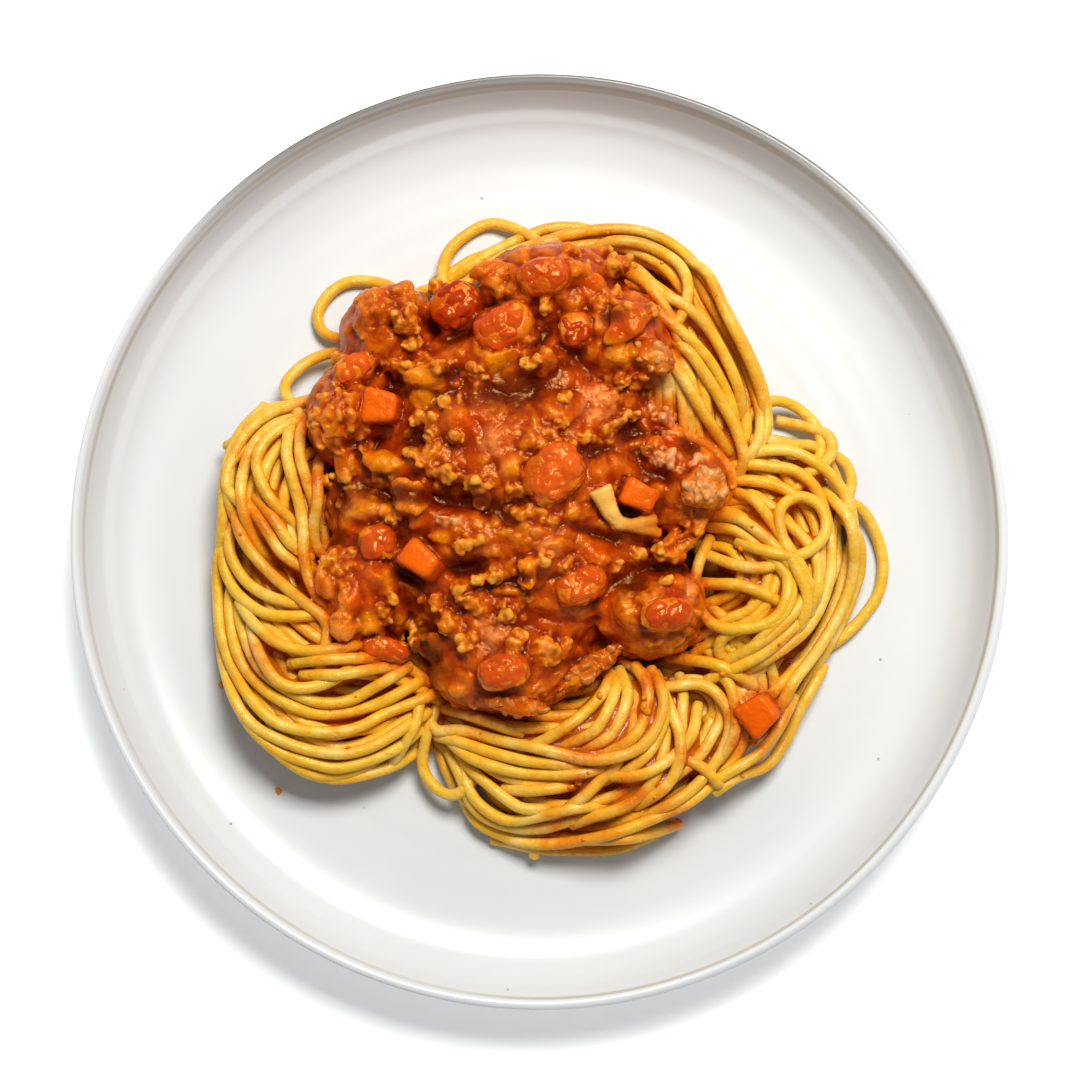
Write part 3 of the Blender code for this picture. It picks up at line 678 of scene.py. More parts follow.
def sauceMesh():
    look = sauceLook
    parts, marks = sauceShape()
    mesh = thinned(remeshed(parts, look["voxel"]), look["underside"])
    points, dark = mounded(relaxed(mesh, pointsOf(mesh), 2))
    # how much painted shade each point gets in the dented valleys
    setValues(mesh, "dark", dark)
    # sauce gathers in the pits
    putPoints(mesh, points)
    normals = normalsOf(mesh)
    facingUp = np.clip((normals[:, 2] + 0.7) / 0.5, 0, 1)
    out, smooth = standing(mesh, points, normals, 14)
    fill = np.clip((-look["pool"] - out) / (0.5 * mm), 0, 0.85)
    points += (smooth - points) * fill[:, None]
    kinds = kindsNear(points / mm, marks)
    for name, values in kinds.items():
        setValues(mesh, name, values)
    patches = ruffle(points / mm, 15, 2, 3.0) * 1.3 - 0.15
    grainy = np.clip(kinds["tan"] * 1.2 + kinds["pale"] * 1.2 + np.clip(patches, 0, 0.8), 0, 1)
    setValues(mesh, "grainy", grainy)
    points = underChunks(mesh, grained(mesh, points, grainy, facingUp))
    # the highest lumps are pressed in gently under the solid's top
    top = cadBox[1][2] / mm - 0.05
    over = np.clip(points[:, 2] / mm - (top - look["press"]), 0, None)
    points[:, 2] -= (over - look["press"] * np.tanh(over / look["press"])) * mm
    putPoints(mesh, points)
    normals = normalsOf(mesh)
    # how far each point stands out, at small and large scale; these set painted light and shade on the sauce
    for name, rounds, size in (("peak", 18, 0.8 * mm), ("rise", 90, 2.2 * mm)):
        out, _ = standing(mesh, points, normals, rounds)
        setValues(mesh, name, np.clip(out / size, -1, 1))
    return mesh


# how near each point is to a lump of each kind, from 0 to 1
def kindsNear(places, marks):
    finder = KDTree(len(marks))
    for i, mark in enumerate(marks):
        finder.insert(Vector(mark[:3]), i)
    finder.balance()
    kinds = {name: np.zeros(len(places)) for name in ("tan", "orange", "pale", "red", "wet")}
    share = {name: (name, 1.0) for name in kinds}
    share["meat"] = ("tan", 0.6)
    for i, place in enumerate(places):
        for _, index, far in finder.find_n(Vector(place), 3):
            reach = marks[index][3] * 1.25
            name, most = share[marks[index][4]]
            close = max(0.0, 1 - max(0.0, far - reach * 0.55) / (reach * 0.8))
            kinds[name][i] = max(kinds[name][i], close * most)
    return kinds


def sauceMaterial():
    made, tree, shader = newMaterial("meat_and_tomato_sauce", {
        "IOR": 1.45, "Specular IOR Level": 0.65, "Specular Tint": sauceLook["gleam"]})
    look = sauceLook
    place = tree.node("TexCoord", out="Object")
    peak, rise, tan, orange = stored(tree, "peak", "rise", "tan", "orange")
    pale, red, grainy, dark, wet = stored(tree, "pale", "red", "grainy", "dark", "wet")
    broad = cloud(tree, 90, 3, 0.5, place)
    fine = cloud(tree, 380, 4, 0.6, place)
    grit = cloud(tree, 950, 3, 0.65, place)
    # places that stand lower are painted darker and raised patches more orange: painted shade and light by
    # height, mixed with uneven tone
    lift = (rise * 0.9 + peak * 0.3 + broad * 1.1 + fine * 0.4 - 0.45).clamp()
    base = lift.mix(look["deep"], look["red"])
    base = (rise.step(-0.1, 0.7) * broad.step(0.42, 0.6) * 0.75).mix(base, look["orange"])
    base = (orange * (fine * 1.2 + rise * 0.3)).clamp().mix(base, look["orange"])
    base = (red * 0.45).mix(base, look["tomato"])
    # meat grains and pale lumps are painted lighter on their crowns: partly the meat's own colour showing,
    # partly painted light on their tops
    crowns = grainy * peak.step(-0.25, 0.5) * (fine.step(0.36, 0.62) * 0.6 + 0.3)
    base = crowns.mix(base, look["crumb"])
    grains = (tan * peak.step(0.15, 0.8) * (fine.step(0.38, 0.62) * 0.8 + 0.15)).clamp()
    base = grains.mix(base, look["grain"])
    base = (pale * peak.step(-0.2, 0.6) * (fine * 0.9 + 0.2)).clamp().mix(base, look["pale"])
    # painted sheen: pale orange on raised patches, and on lumps set where the sauce catches the light
    shine = broad.step(0.5, 0.62) * fine.step(0.46, 0.6) * rise.step(-0.1, 0.4) * 0.55
    base = (shine + wet * (fine.step(0.34, 0.6) * 0.8 + 0.1)).clamp().mix(base, look["wet"])
    # painted shade in the dented valleys and in low hollows
    base = ((dark * 1.3 + (broad - 0.5) * 0.8 - peak * 0.4).clamp() * 0.8).mix(base, look["shade"])
    base = ((0 - rise).step(0.05, 0.7) * 0.9).mix(base, look["shade"])
    base = (grit.step(0.56, 0.7) * lift * 0.4).mix(base, look["orange"])
    base = (grit.step(0.44, 0.32) * 0.4).mix(base, look["deep"])
    plug(base, shader, "Base Color")
    plug(fine * 0.24 + 0.08 + tan * 0.1, shader, "Roughness")
    plug(bumpy(fine * 0.6 + grit * 0.22, 0.7, 1.1 * mm), shader, "Normal")
    return made


sauceFinish = sauceMaterial()
sauce = sauceMesh()
addPiece("bolognese_sauce", sauce, sauceFinish, "sauce", "meat_sauce")
sauceTree = treeOf(sauce)
print("sauce:", sum(len(face.vertices) - 2 for face in sauce.polygons), "triangles")


# chunks in the sauce: each takes its solid's own form, softened
# A finish: its name, colours of a dark piece, of a pale one and of the sides, sheen and roughness.
# Lumps: size, the level that stays where it is, and height, in millimetres.
chunkLooks = {
    "carrot": {
        "voxel": 0.42 * mm, "soften": 3, "ripple": 0.05, "size": 2.2, "lumps": (), "sunk": 0,
        "finish": ("cooked_carrot", paint(220, 84, 6), paint(234, 96, 10), paint(170, 44, 0), 0.5, 0.14),
    },
    "tomato": {
        "voxel": 0.42 * mm, "soften": 4, "ripple": 0.4, "size": 2.6,
        "lumps": ((6.5, 0.7, 0.8), (2.2, 0.6, 0.15)), "sunk": 0.2,
        "finish": ("stewed_tomato", paint(164, 38, 0), paint(222, 88, 26), paint(176, 54, 0), 0.8, 0.06),
    },
    "onion": {
        "voxel": 0.36 * mm, "soften": 5, "ripple": 0.12, "size": 3.0, "lumps": (), "sunk": 0,
        "finish": ("stewed_onion", paint(226, 150, 50), paint(250, 200, 104), paint(202, 104, 8), 0.5, 0.16),
    },
    "meat": {
        "voxel": 0.42 * mm, "soften": 4, "ripple": 0.6, "size": 2.0,
        "lumps": ((3.4, 0.65, 1.6), (1.7, 0.6, 0.4)), "sunk": 0,
        "finish": ("minced_meat", paint(190, 94, 10), paint(218, 146, 84), paint(146, 50, 0), 0.7, 0.14),
    },
}
# How pale a piece is: 0 dark and cooked, 1 pale; tomato_middle's paleness is partly a painted highlight
paleness = {
    "tomato_upper_left": 0.1, "tomato_pink_left": 0.8, "tomato_upper": 0.55, "tomato_top": 0.45,
    "tomato_round": 0.25, "tomato_middle": 0.85, "tomato_right": 0.4, "meat_clump_right": 0.75,
    "meat_clump_upper": 0.5, "meat_strip_bottom": 0.15, "meat_strip_low": 0.2,
}
usualPaleness = 0.6


def chunkMaterial(name, dark, top, side, sheen, rough):
    made, tree, shader = newMaterial(name, {
        "IOR": 1.45, "Specular IOR Level": sheen, "Specular Tint": sauceLook["gleam"]})
    place = tree.node("TexCoord", out="Object")
    bare, ripe, peak = stored(tree, "bare", "ripe", "peak")
    broad = cloud(tree, 180, 3, 0.55, place)
    fine = cloud(tree, 600, 3, 0.6, place)
    # each piece's share of its pale colour, with uneven tone, and a little paler on its crowns as painted
    # light
    base = (ripe * 1.2 + (broad - 0.5) * 1.2 + peak * 0.2 - 0.1).clamp().mix(dark, top)
    base = (bare + broad * 0.7 + fine * 0.3 - 0.5).clamp().mix(side, base)
    plug(base, shader, "Base Color")
    plug(fine * 0.25 + rough, shader, "Roughness")
    plug(bumpy(fine * 0.35 + broad * 0.6, 0.7, 1.1 * mm), shader, "Normal")
    return made


chunkMaterials = {kind: chunkMaterial(*chunkLooks[kind]["finish"]) for kind in chunkLooks}


def buildChunk(node):
    kind = node.split("_")[0]
    look = chunkLooks[kind]
    low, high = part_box(node)
    mesh = remeshed(solidOf(node), look["voxel"])
    points = relaxed(mesh, pointsOf(mesh), look["soften"])
    putPoints(mesh, points)
    normals = normalsOf(mesh)
    shift = len(node) * 3.7
    swell = ruffle(points / mm, look["size"], 3, shift) * look["ripple"]
    places = swirled(points / mm, 4.0, 2.0)
    for size, level, height in look["lumps"]:
        swell += (pebbles(places, size, shift) - level) * height
    points += normals * ((swell - look["sunk"]) * mm)[:, None]
    points = relaxed(mesh, points, 1, 0.3)
    points[:, 2] = np.minimum(points[:, 2], cadBox[1][2] - 0.02 * mm)
    putPoints(mesh, points)
    out, _ = standing(mesh, points, normalsOf(mesh), 10)
    setValues(mesh, "peak", np.clip(out / (0.4 * mm), -1, 1))
    rise = (points[:, 2] - low[2]) / (high[2] - low[2])
    setValues(mesh, "bare", np.clip((rise - 0.5) * 1.6 + normals[:, 2] * 0.45, 0, 1))
    setValues(mesh, "ripe", np.full(len(points), paleness.get(node, usualPaleness)))
    mesh.name = "cooked_" + node
    return addPiece("cooked_" + node, mesh, chunkMaterials[kind], kind, node)


for node in chunkNodes:
    buildChunk(node)
print("chunks:", len(chunkNodes))


# spaghetti
pastaLook = {
    "diameter": 2.9,          # millimetres, as every length of this dictionary
    "step": 1.5,              # between the points of a strand
    "coarseStep": 6,          # between those of a hidden layer's route, before it is spread
    "cell": 0.5,              # of the height map, which reaches this far from the middle
    "reach": 96,
    "sag": 0.045,             # how far a strand bends down at each step where nothing holds it
    "settling": 90,           # rounds of that
    "underLoose": 1.6,        # how far strands wander from their routes
    "topLoose": 0.25,
    "underSides": 10,
    "topSides": 14,
    "core": 6.5,              # how far the core lies inside the solid heap
    "underLid": -0.6,         # how far the middles of hidden strands may rise above the nests
    "topLid": 3.6,            # and of the strands that show
    "lowestLid": 9.8,
    "skirt": 5.0,             # how far the nests' tops run out past the half-rounds
    "dive": 4.0,              # how deep a strand's end goes among the others, and over what length
    "diveLength": 9.0,
    "inward": 0.965,          # hidden layers are drawn in by this
    "buried": 4.0,            # strands this far below the top of the sauce are left out
    "coat": 3.4,              # how far the colour of the sauce runs out over the strands
    "seed": 21,
    "readHeight": 25,         # places of the routes are true for strands at this height
    "eye": 800,
    "level": 19.5,            # a strand at this height isn't shifted for the camera's tilt
    "tilt": 0.079,
    "pale": paint(250, 238, 176),
    # pale flecks painted on the strands' crowns: painted highlight
    "fleck": paint(255, 246, 204),
    "gold": paint(253, 222, 84),
    # a deeper gold, painted on the strands' sides as shade, and in random specks
    "side": paint(236, 174, 18),
    # painted shade on strands deep in the heap
    "hidden": paint(168, 92, 0),
    "film": paint(226, 116, 6),
    "stain": paint(190, 64, 0),
    "coreColours": (paint(130, 66, 6), paint(190, 116, 22)),
    "gleam": (1.0, 0.94, 0.72, 1),
    "thicker": 1.02,          # the strands that show carry a coat of sauce
    "drawn": 0.983,           # the routes were read a little large
}
# Routes of the hidden layers, in millimetres: (strands, spread, route)
underRoutes = [
    (5, 9, [(-58, 33), (-70, 28), (-76, 16), (-78, 0), (-77, -16), (-74, -31), (-67, -42), (-58, -50),
            (-48, -52), (-38, -48), (-28, -40)]),
    (5, 14, [(-52, 32), (-62, 24), (-68, 12), (-69, -2), (-66, -16), (-60, -28), (-50, -36), (-38, -38)]),
    (4, 12, [(-54, 22), (-59, 12), (-60, 0), (-58, -12), (-52, -22), (-42, -28)]),
    (4, 8, [(-74, -8), (-68, -20), (-60, -28), (-50, -32), (-38, -32)]),
    (4, 8, [(-73, -40), (-66, -49), (-56, -55), (-45, -55), (-35, -50), (-27, -42)]),
    (5, 9, [(-22, -50), (-18, -62), (-8, -70), (8, -72.5), (23, -70), (36, -63), (45, -54), (48, -44),
            (42, -37), (32, -38)]),
    (5, 12, [(-24, -46), (-14, -56), (0, -62), (14, -62), (26, -56), (32, -47), (30, -38)]),
    (4, 10, [(-26, -44), (-12, -50), (2, -54), (16, -54), (24, -46), (22, -36)]),
    (5, 9, [(48, 22), (62, 21), (71, 14), (75, 4), (74, -9), (69, -22), (61, -35), (52, -47), (44, -54)]),
    (5, 12, [(44, 14), (56, 14), (64, 6), (67, -6), (63, -18), (55, -28), (46, -36)]),
    (4, 10, [(40, 2), (50, 2), (57, -6), (55, -16), (46, -22), (38, -26)]),
    (4, 10, [(42, -22), (50, -28), (56, -36), (54, -46), (46, -52)]),
    (5, 9, [(-24, 62), (-12, 70), (0, 74.5), (14, 75.5), (28, 73), (38, 66), (45, 55), (51, 43), (53, 30),
            (50, 18)]),
    (5, 12, [(10, 70), (24, 68), (34, 60), (41, 50), (46, 38), (47, 26), (44, 14)]),
    (3, 8, [(-40, 56), (-30, 60), (-20, 62), (-10, 68)]),
    (3, 8, [(-52, 40), (-44, 48), (-36, 54)]),
    (5, 12, [(16, 62), (27, 57), (35, 47), (38, 35), (40, 22), (42, 10)]),
    (4, 9, [(24, 52), (32, 44), (35, 34), (36, 24), (40, 14)]),
    (5, 10, [(-26, -38), (-14, -43), (2, -46), (14, -45), (24, -38)]),
    (4, 9, [(-50, -22), (-40, -30), (-30, -35), (-20, -42)]),
]
# Routes of the strands that show, lowest first in each group, in millimetres
topRoutes = [
    # loops that lie on the plate
    [(-20, 60), (-24.5, 65), (-23.5, 72), (-19, 77), (-13, 80), (-7, 79), (-2, 76.5), (3, 72.5), (8, 66)],
    [(-30, 57), (-36.5, 63), (-42, 65), (-48, 65), (-53, 62), (-56, 57), (-55, 52.5), (-51, 50.5),
     (-46, 49), (-40, 46)],
    [(-44, 46), (-51, 47), (-56, 46), (-61, 43), (-64.5, 38.5), (-63, 34), (-58, 28)],
    [(-26, -42), (-28.5, -50), (-29.5, -57), (-27, -62), (-23, -64.5), (-19.5, -63.5), (-15, -58)],
    [(52, 30), (58, 34.5), (64, 33.5), (69, 29), (71, 24), (70, 19), (64, 12)],
    [(72, 10), (78, 9), (82, 6), (85, 0), (86.3, -7), (85, -14), (81, -20), (76, -25), (70, -29)],
    # left nest
    [(-40, -55), (-46, -58.5), (-53, -60), (-60, -58), (-67, -52), (-72, -46)],
    [(-28, -52), (-36, -57), (-44, -59.5), (-52, -60.5), (-60, -58.5), (-66, -54), (-72, -48),
     (-76, -42)],
    [(-30, -48), (-36, -53), (-44, -56.5), (-51, -58), (-58, -56.5), (-65, -54), (-71, -49.5), (-75, -44),
     (-78, -36)],
    [(-28, -44), (-36, -49), (-43, -53), (-50, -54.5), (-58, -53.5), (-66, -50.5), (-72, -47), (-76, -42),
     (-79, -34), (-80.5, -24), (-81, -12), (-79.5, -2), (-77, 6)],
    [(-24, -38), (-30, -41), (-38, -44), (-45, -47.5), (-52, -49), (-60, -48.5), (-67, -46), (-73, -40),
     (-77, -33), (-80, -24), (-81, -15), (-81, -5), (-79, 3)],
    [(-30, -36), (-39, -41), (-47, -44), (-55, -44.5), (-62, -42.5), (-69, -38.5), (-74, -33), (-77, -25),
     (-78, -15), (-76, -6)],
    [(-33, -32), (-37, -35), (-42, -38), (-48, -41), (-55, -41.5), (-62, -39), (-68, -35), (-72, -30),
     (-75, -22), (-76, -14)],
    [(-44, -29), (-52, -36), (-60, -38), (-66, -36), (-70, -30), (-73, -22)],
    [(-70, 34), (-76, 26), (-79.5, 16), (-80, 6), (-80.5, -6), (-79.5, -16)],
    [(-56, 36), (-62, 34), (-68, 31.5), (-74, 26.5), (-78, 19), (-78.5, 10), (-76, 2)],
    [(-58, 35), (-66, 33), (-72, 30), (-76, 25.5), (-79.5, 23.5)],
    [(-74, 24), (-78, 19), (-79, 13), (-76, 9), (-72, 6), (-68, 0)],
    [(-58, 31), (-66, 29), (-72, 24), (-75, 16), (-75, 8), (-72, 0), (-66, -8)],
    [(-56, 27), (-62, 26), (-68, 20), (-70, 12), (-68, 4), (-64, -4), (-58, -10)],
    [(-54, 24), (-60, 20), (-64, 12), (-64, 4), (-60, -4), (-55, -12)],
    [(-74, 9), (-71, 5), (-68, 0.5), (-65, -4), (-60, -7.5), (-53, -10)],
    [(-72, 10.5), (-69, 7), (-66, 3), (-62.5, -2), (-58, -5)],
    [(-78.5, 4), (-78, -4), (-74.5, -10.5), (-70, -14), (-65, -16), (-59, -17), (-52, -16)],
    [(-80, 2), (-79.5, -7), (-77, -13), (-73, -17), (-68, -19.5), (-62, -20), (-56, -19.5), (-50, -19)],
    [(-56, -36), (-54, -28), (-53, -22), (-52, -14)],
    [(-76, -16), (-73, -20.5), (-70, -23.5), (-67, -26), (-62, -28), (-56, -28.5), (-48, -27.5),
     (-40, -26)],
    [(-63, -31.5), (-58, -31), (-52, -30.8), (-46, -30.6), (-38, -30)],
    [(-60, -34.5), (-56, -34.5), (-50, -34.5), (-44, -33.5), (-36, -32)],
    [(-30, -40), (-31, -46), (-34, -52), (-38, -57.5)],
    [(-77.5, 9), (-76, 2), (-73, -3.5), (-68, -9), (-63, -13.5), (-58, -17.5), (-54.5, -20.5),
     (-53, -25)],
    [(-57, 32), (-60, 28), (-60.5, 21), (-59, 15), (-57, 9), (-55.5, 2)],
    [(-59, 31), (-64, 28.5), (-69, 24.5), (-71.5, 19.5), (-70.5, 14), (-67.5, 9), (-64, 5.5), (-61.8, 3)],
    [(-54, 24), (-56, 18), (-56, 10), (-57, 2), (-56, -3), (-52, -6)],
    [(-63, 30), (-64, 22), (-62.5, 15), (-60.5, 8), (-59.5, 1), (-59.4, -5), (-58, -11), (-55, -16),
     (-50, -19)],
    # bottom nest
    [(-1.5, -80), (-1.5, -76), (-4, -72)],
    [(-12, -75.5), (0, -78), (10, -78.5), (19, -78), (27, -75), (33, -72)],
    [(12, -76), (22, -75.5), (29, -74), (35, -72)],
    [(-20, -64), (-16, -71), (-10, -74.5), (-3, -76.5), (6, -76.5), (15, -75), (22, -73), (30, -70),
     (38, -66), (45, -60), (50, -53), (51.5, -45), (48, -36)],
    [(-24, -52), (-20, -60), (-17, -67), (-13, -70.5), (-7, -72.5), (0, -73), (6, -71.5), (11, -70)],
    [(-20, -56), (-18, -63), (-14, -68), (-8, -71), (0, -70), (8, -68), (16, -67)],
    [(8, -72), (14, -70), (20, -68), (25, -65), (29, -60), (31, -54), (31.5, -46), (30, -38)],
    [(7, -68), (11, -65), (15, -61), (19, -57), (23, -50), (24, -42)],
    [(-21, -54), (-18, -57.5), (-13, -62), (-8, -66), (-4, -68), (2, -68)],
    [(-18, -52), (-14, -57), (-6, -61), (2, -62), (8, -60.5), (14, -57)],
    [(-9, -63), (-3, -63.5), (4, -63), (9, -62)],
    [(-24, -50), (-18, -55), (-10, -58), (0, -59.5), (10, -59.5), (18, -57)],
    [(16, -60), (24, -60), (32, -56), (38, -50), (40, -42)],
    [(26, -70), (34, -66), (41, -60), (46, -53), (47.5, -46), (45, -40), (40, -37), (33, -37.5),
     (27, -38)],
    [(29, -34), (33, -44), (35, -50), (34.5, -57), (31, -63), (24, -67.5)],
    [(37, -56), (41, -58), (45, -62)],
    [(20, -30), (30, -38), (31, -46), (27, -54), (20, -60)],
    [(24, -32), (27, -38), (26, -46), (22, -51.5), (14, -55)],
    [(20, -33), (22, -39), (20.5, -45), (17, -50.5), (9, -54)],
    [(16, -33), (19, -37), (17, -43), (13, -49), (4, -53)],
    [(18, -34), (15, -40), (9, -46), (2, -50.5), (-6, -54)],
    [(-26, -50), (-20, -51.5), (-12, -54), (-4, -56), (4, -57), (12, -57.5)],
    [(-28, -45), (-26, -48.5), (-20, -48.5), (-12, -50.5), (-3, -52.5), (5, -54.5), (13, -56), (20, -55),
     (26, -52), (30, -46), (31, -40), (28, -33)],
    [(-24, -43), (-15, -45.5), (-9, -47.5), (-4.5, -49)],
    # right nest
    [(50, 24), (56, 25), (63, 23.5), (69, 23.5), (73, 20), (76, 14)],
    [(60, 30), (67, 28), (73, 25.5), (73.5, 21), (70, 17.5), (64, 15)],
    [(73, 22), (77, 19), (78.5, 14), (77, 9), (74, 2)],
    [(48, 20), (55, 21.5), (62, 22), (68, 20), (73, 16.5), (77, 11), (79, 4), (78.5, -3), (76.5, -10),
     (74, -17), (70, -25), (64, -33), (56, -42)],
    [(76, 6), (80, 0), (80.5, -8), (78, -16), (75, -23), (70, -32), (66, -39), (60, -48)],
    [(72, 12), (78, 4), (79, -4), (78, -12), (75, -20), (70, -28), (64, -36), (60, -43), (54, -51)],
    [(44, -64), (50, -60), (57, -57), (62, -50), (66, -42), (72, -32)],
    [(43, -62), (49, -58), (55, -54), (60, -47.5), (64, -40)],
    [(46, 18), (52, 18.5), (58, 18), (64, 17), (69, 13), (72, 6), (73.5, -2), (73, -9), (70.5, -17),
     (66, -24), (58, -30), (50, -34)],
    [(44, 14), (50, 14.5), (56, 14), (62, 12), (67, 8), (70, 1), (70.5, -7), (69, -14), (65, -21),
     (58, -28), (49, -33), (42, -36)],
    [(46, 9), (52, 10), (58, 8), (64, 2), (67, -6), (67, -13), (63, -20), (56, -26), (47, -31)],
    [(60, 6), (66, 0), (69.5, -6), (69.5, -14), (66, -20)],
    [(42, 3), (49, 2), (54.5, -2), (59, -6), (63, -12), (62, -18), (57, -24), (50, -31)],
    [(43, 5.5), (50, 4.5), (56, 0.5), (60.5, -4), (65, -10)],
    [(50, 11.5), (54, 9.5), (58, 4), (62, -2), (66, -8), (68, -14), (68, -20)],
    [(40, -3.5), (47, -6.3), (53, -7.5), (58, -7.2), (61.5, -6)],
    [(38, -11), (44, -11.6), (50, -12), (56, -14), (61, -16.5)],
    [(46, -31), (45, -27), (48, -24), (54, -22.5), (60, -21.5), (66, -18)],
    [(43, 0), (40.5, -5), (39, -12), (40.5, -18.5), (44, -22), (50, -23), (57, -21.5), (61, -18),
     (62.5, -12), (62, -6)],
    [(32, -30), (38, -31), (44, -32), (50, -35), (54.5, -38)],
    [(50, -1), (57, -3.5), (64.5, -4.7), (69.2, -2.2), (72, 2.2), (70.6, 7.7), (65.8, 10.4), (61.3, 8.4),
     (60.1, 4.2), (61.7, -2), (65, -8.8), (67.2, -14.3), (66.5, -19.8), (63, -26)],
    [(44, -33), (47.5, -37), (49, -43), (48.5, -50), (45, -56)],
    # top right nest
    [(-24, 66), (-18, 69), (-12, 72.5), (-5, 76), (2, 78.5), (9, 79), (17, 78)],
    [(-19, 65), (-12, 70), (-5, 73.5), (3, 75.5), (12, 77), (20, 77.5), (28, 76), (34, 73), (39, 68),
     (42.5, 61), (46.5, 54), (50.5, 47), (53.5, 40), (55.5, 32), (55, 25), (51, 18)],
    [(0, 76), (8, 77.5), (20, 78.5), (30, 76.5), (38, 71), (44, 63), (49, 54), (54, 44), (57, 35),
     (57, 27), (53, 21)],
    [(-8, 66), (-2, 71), (6, 73.5), (14, 74.5), (22, 73.5), (29, 70.5), (34, 66), (39, 59), (44, 51),
     (48, 43), (51, 35), (52, 27), (49, 20)],
    [(12, 73), (18, 75.5), (25, 75), (31, 72.5), (35.5, 69), (37.5, 64), (37, 59.5), (35, 55), (30, 50)],
    [(22, 68), (26, 65), (30, 60.5), (33, 56), (35, 51), (35, 46)],
    [(24, 61), (31, 56), (36, 52), (41, 47), (45.5, 40), (48.5, 33), (50, 26)],
    [(28, 62), (34, 60.5), (41, 55), (46, 47), (50, 38), (51.5, 30)],
    [(33, 51), (38, 47), (43, 39.5), (46.5, 33), (49.5, 27), (51.5, 20), (50, 16)],
    [(31, 47), (35, 42), (38, 37), (41, 32), (44.5, 27), (48, 22)],
    [(38, 71), (42.5, 67), (46.5, 58), (51, 49), (54.5, 41), (56.5, 33), (56, 25)],
    [(30, 31), (34, 27.5), (39, 25), (44, 21.5), (47.5, 17.5), (48.5, 13.5), (46, 9)],
]
# Smears of sauce on the strands, in millimetres: (x, y, reach, strength from 0 to 1)
smears = [
    (22, -63, 5, 0.9), (5, -73, 8, 0.6), (10, -53, 8, 0.7), (34, -70, 4, 0.8), (36, -54, 5, 0.6),
    (-70, -30, 6, 0.7), (-69, 4, 6, 0.8), (50, -50, 5, 0.8), (27, -36, 4, 1.0), (26, -43, 4, 0.9),
    (18, -50, 8, 0.5), (12, -58, 6, 0.5), (9, -61, 3, 1.0), (-58, -6, 5, 0.6), (-66, -8, 5, 0.5),
    (30, -66, 6, 0.5), (14, -73, 7, 0.4), (20, 75, 12, 0.45), (2, 74, 8, 0.6), (40, 60, 8, 0.4),
    (52, -10, 5, 0.4), (56, 2, 5, 0.4), (-76, 4, 4, 0.5), (-73, 20, 5, 0.4), (-50, -47, 6, 0.3),
    (45, 22, 6, 0.4), (54, 34, 5, 0.4), (60, -28, 6, 0.35),
]


def sideways(line):
    along = np.gradient(line, axis=0)
    along /= np.maximum(np.linalg.norm(along, axis=1), 1e-9)[:, None]
    return np.stack([along[:, 1], -along[:, 0]], 1)


# the heap as a height map that grows as strands are laid on it
class Heap:
    def __init__(self):
        look = pastaLook
        self.cell = look["cell"]
        self.reach = look["reach"]
        self.side = int(2 * self.reach / self.cell) + 1
        self.top = np.full((self.side, self.side), plateSize["floor"] / mm)
        radius = look["diameter"] / 2
        span = np.arange(-int(radius / self.cell) - 1, int(radius / self.cell) + 2)
        dx, dy = np.meshgrid(span, span)
        far = np.hypot(dx, dy) * self.cell
        inside = far < radius
        self.dx, self.dy = dx[inside], dy[inside]
        self.cap = np.sqrt(radius * radius - far[inside] ** 2)

    def cells(self, line):
        return np.clip(np.rint((line[:, :2] + self.reach) / self.cell).astype(int), 4, self.side - 5)

    def cover(self, tree):
        for j in range(self.side):
            for i in range(self.side):
                x, y = (i * self.cell - self.reach) * mm, (j * self.cell - self.reach) * mm
                z = heightUnder(tree, x, y)
                if z is not None:
                    self.top[j, i] = max(self.top[j, i], z / mm)

    def rest(self, line, lids):
        cell = self.cells(line)
        under = self.top[cell[:, 1][:, None] + self.dy, cell[:, 0][:, None] + self.dx]
        need = np.minimum((under + self.cap).max(1), lids)
        z = need.copy()
        for _ in range(pastaLook["settling"]):
            middle = (np.concatenate([z[:1], z[:-1]]) + np.concatenate([z[1:], z[-1:]])) / 2
            z = np.maximum(need, middle - pastaLook["sag"])
        for _ in range(3):
            z[1:-1] = (z[:-2] + 2 * z[1:-1] + z[2:]) / 4
        return z

    def add(self, line):
        marks = np.linspace(0, len(line) - 1, len(line) * 4)
        dense = np.stack([np.interp(marks, np.arange(len(line)), line[:, k]) for k in range(3)], 1)
        cell = self.cells(dense)
        rows = cell[:, 1][:, None] + self.dy
        columns = cell[:, 0][:, None] + self.dx
        np.maximum.at(self.top, (rows, columns), dense[:, 2][:, None] + self.cap)


# half-rounds that fill the nests, in millimetres: (x, y, reach along x, reach along y, height above floor)
nests = [
    (-52, -31, 26, 26, 19), (-58, 9, 20, 23, 18), (17, -48, 36, 27, 19), (54, -8, 23, 32, 20),
    (18, 43, 35, 32, 25), (-33, 42, 18, 18, 17), (-8, 14, 43, 50, 26), (44, -37, 20, 20, 14),
]


def coreMesh():
    shape = bmesh.new()
    inner = pastaLook["core"]
    for x, y, rx, ry, height in nests:
        ball(shape, (x * mm, y * mm, plateSize["floor"]), [(v - inner) * mm for v in (rx, ry, height)], 0, 4)
    mesh = bpy.data.meshes.new("core_parts")
    shape.to_mesh(mesh)
    shape.free()
    made = remeshed(mesh, 1.6 * mm)
    points = relaxed(made, pointsOf(made), 6)
    points[:, 2] = np.maximum(points[:, 2], plateSize["floor"] + 0.3 * mm)
    putPoints(made, points)
    return made


noLid = 99                    # higher than any strand goes


# how high a strand may go at each place, so that it dives under the sauce
def lidsOver(line):
    lids = np.full(len(line), float(noLid))
    for i, (x, y) in enumerate(line[:, :2]):
        top = heightUnder(sauceTree, x * mm, y * mm)
        if top is not None:
            lids[i] = top / mm - pastaLook["diameter"] * 0.75
    return lids


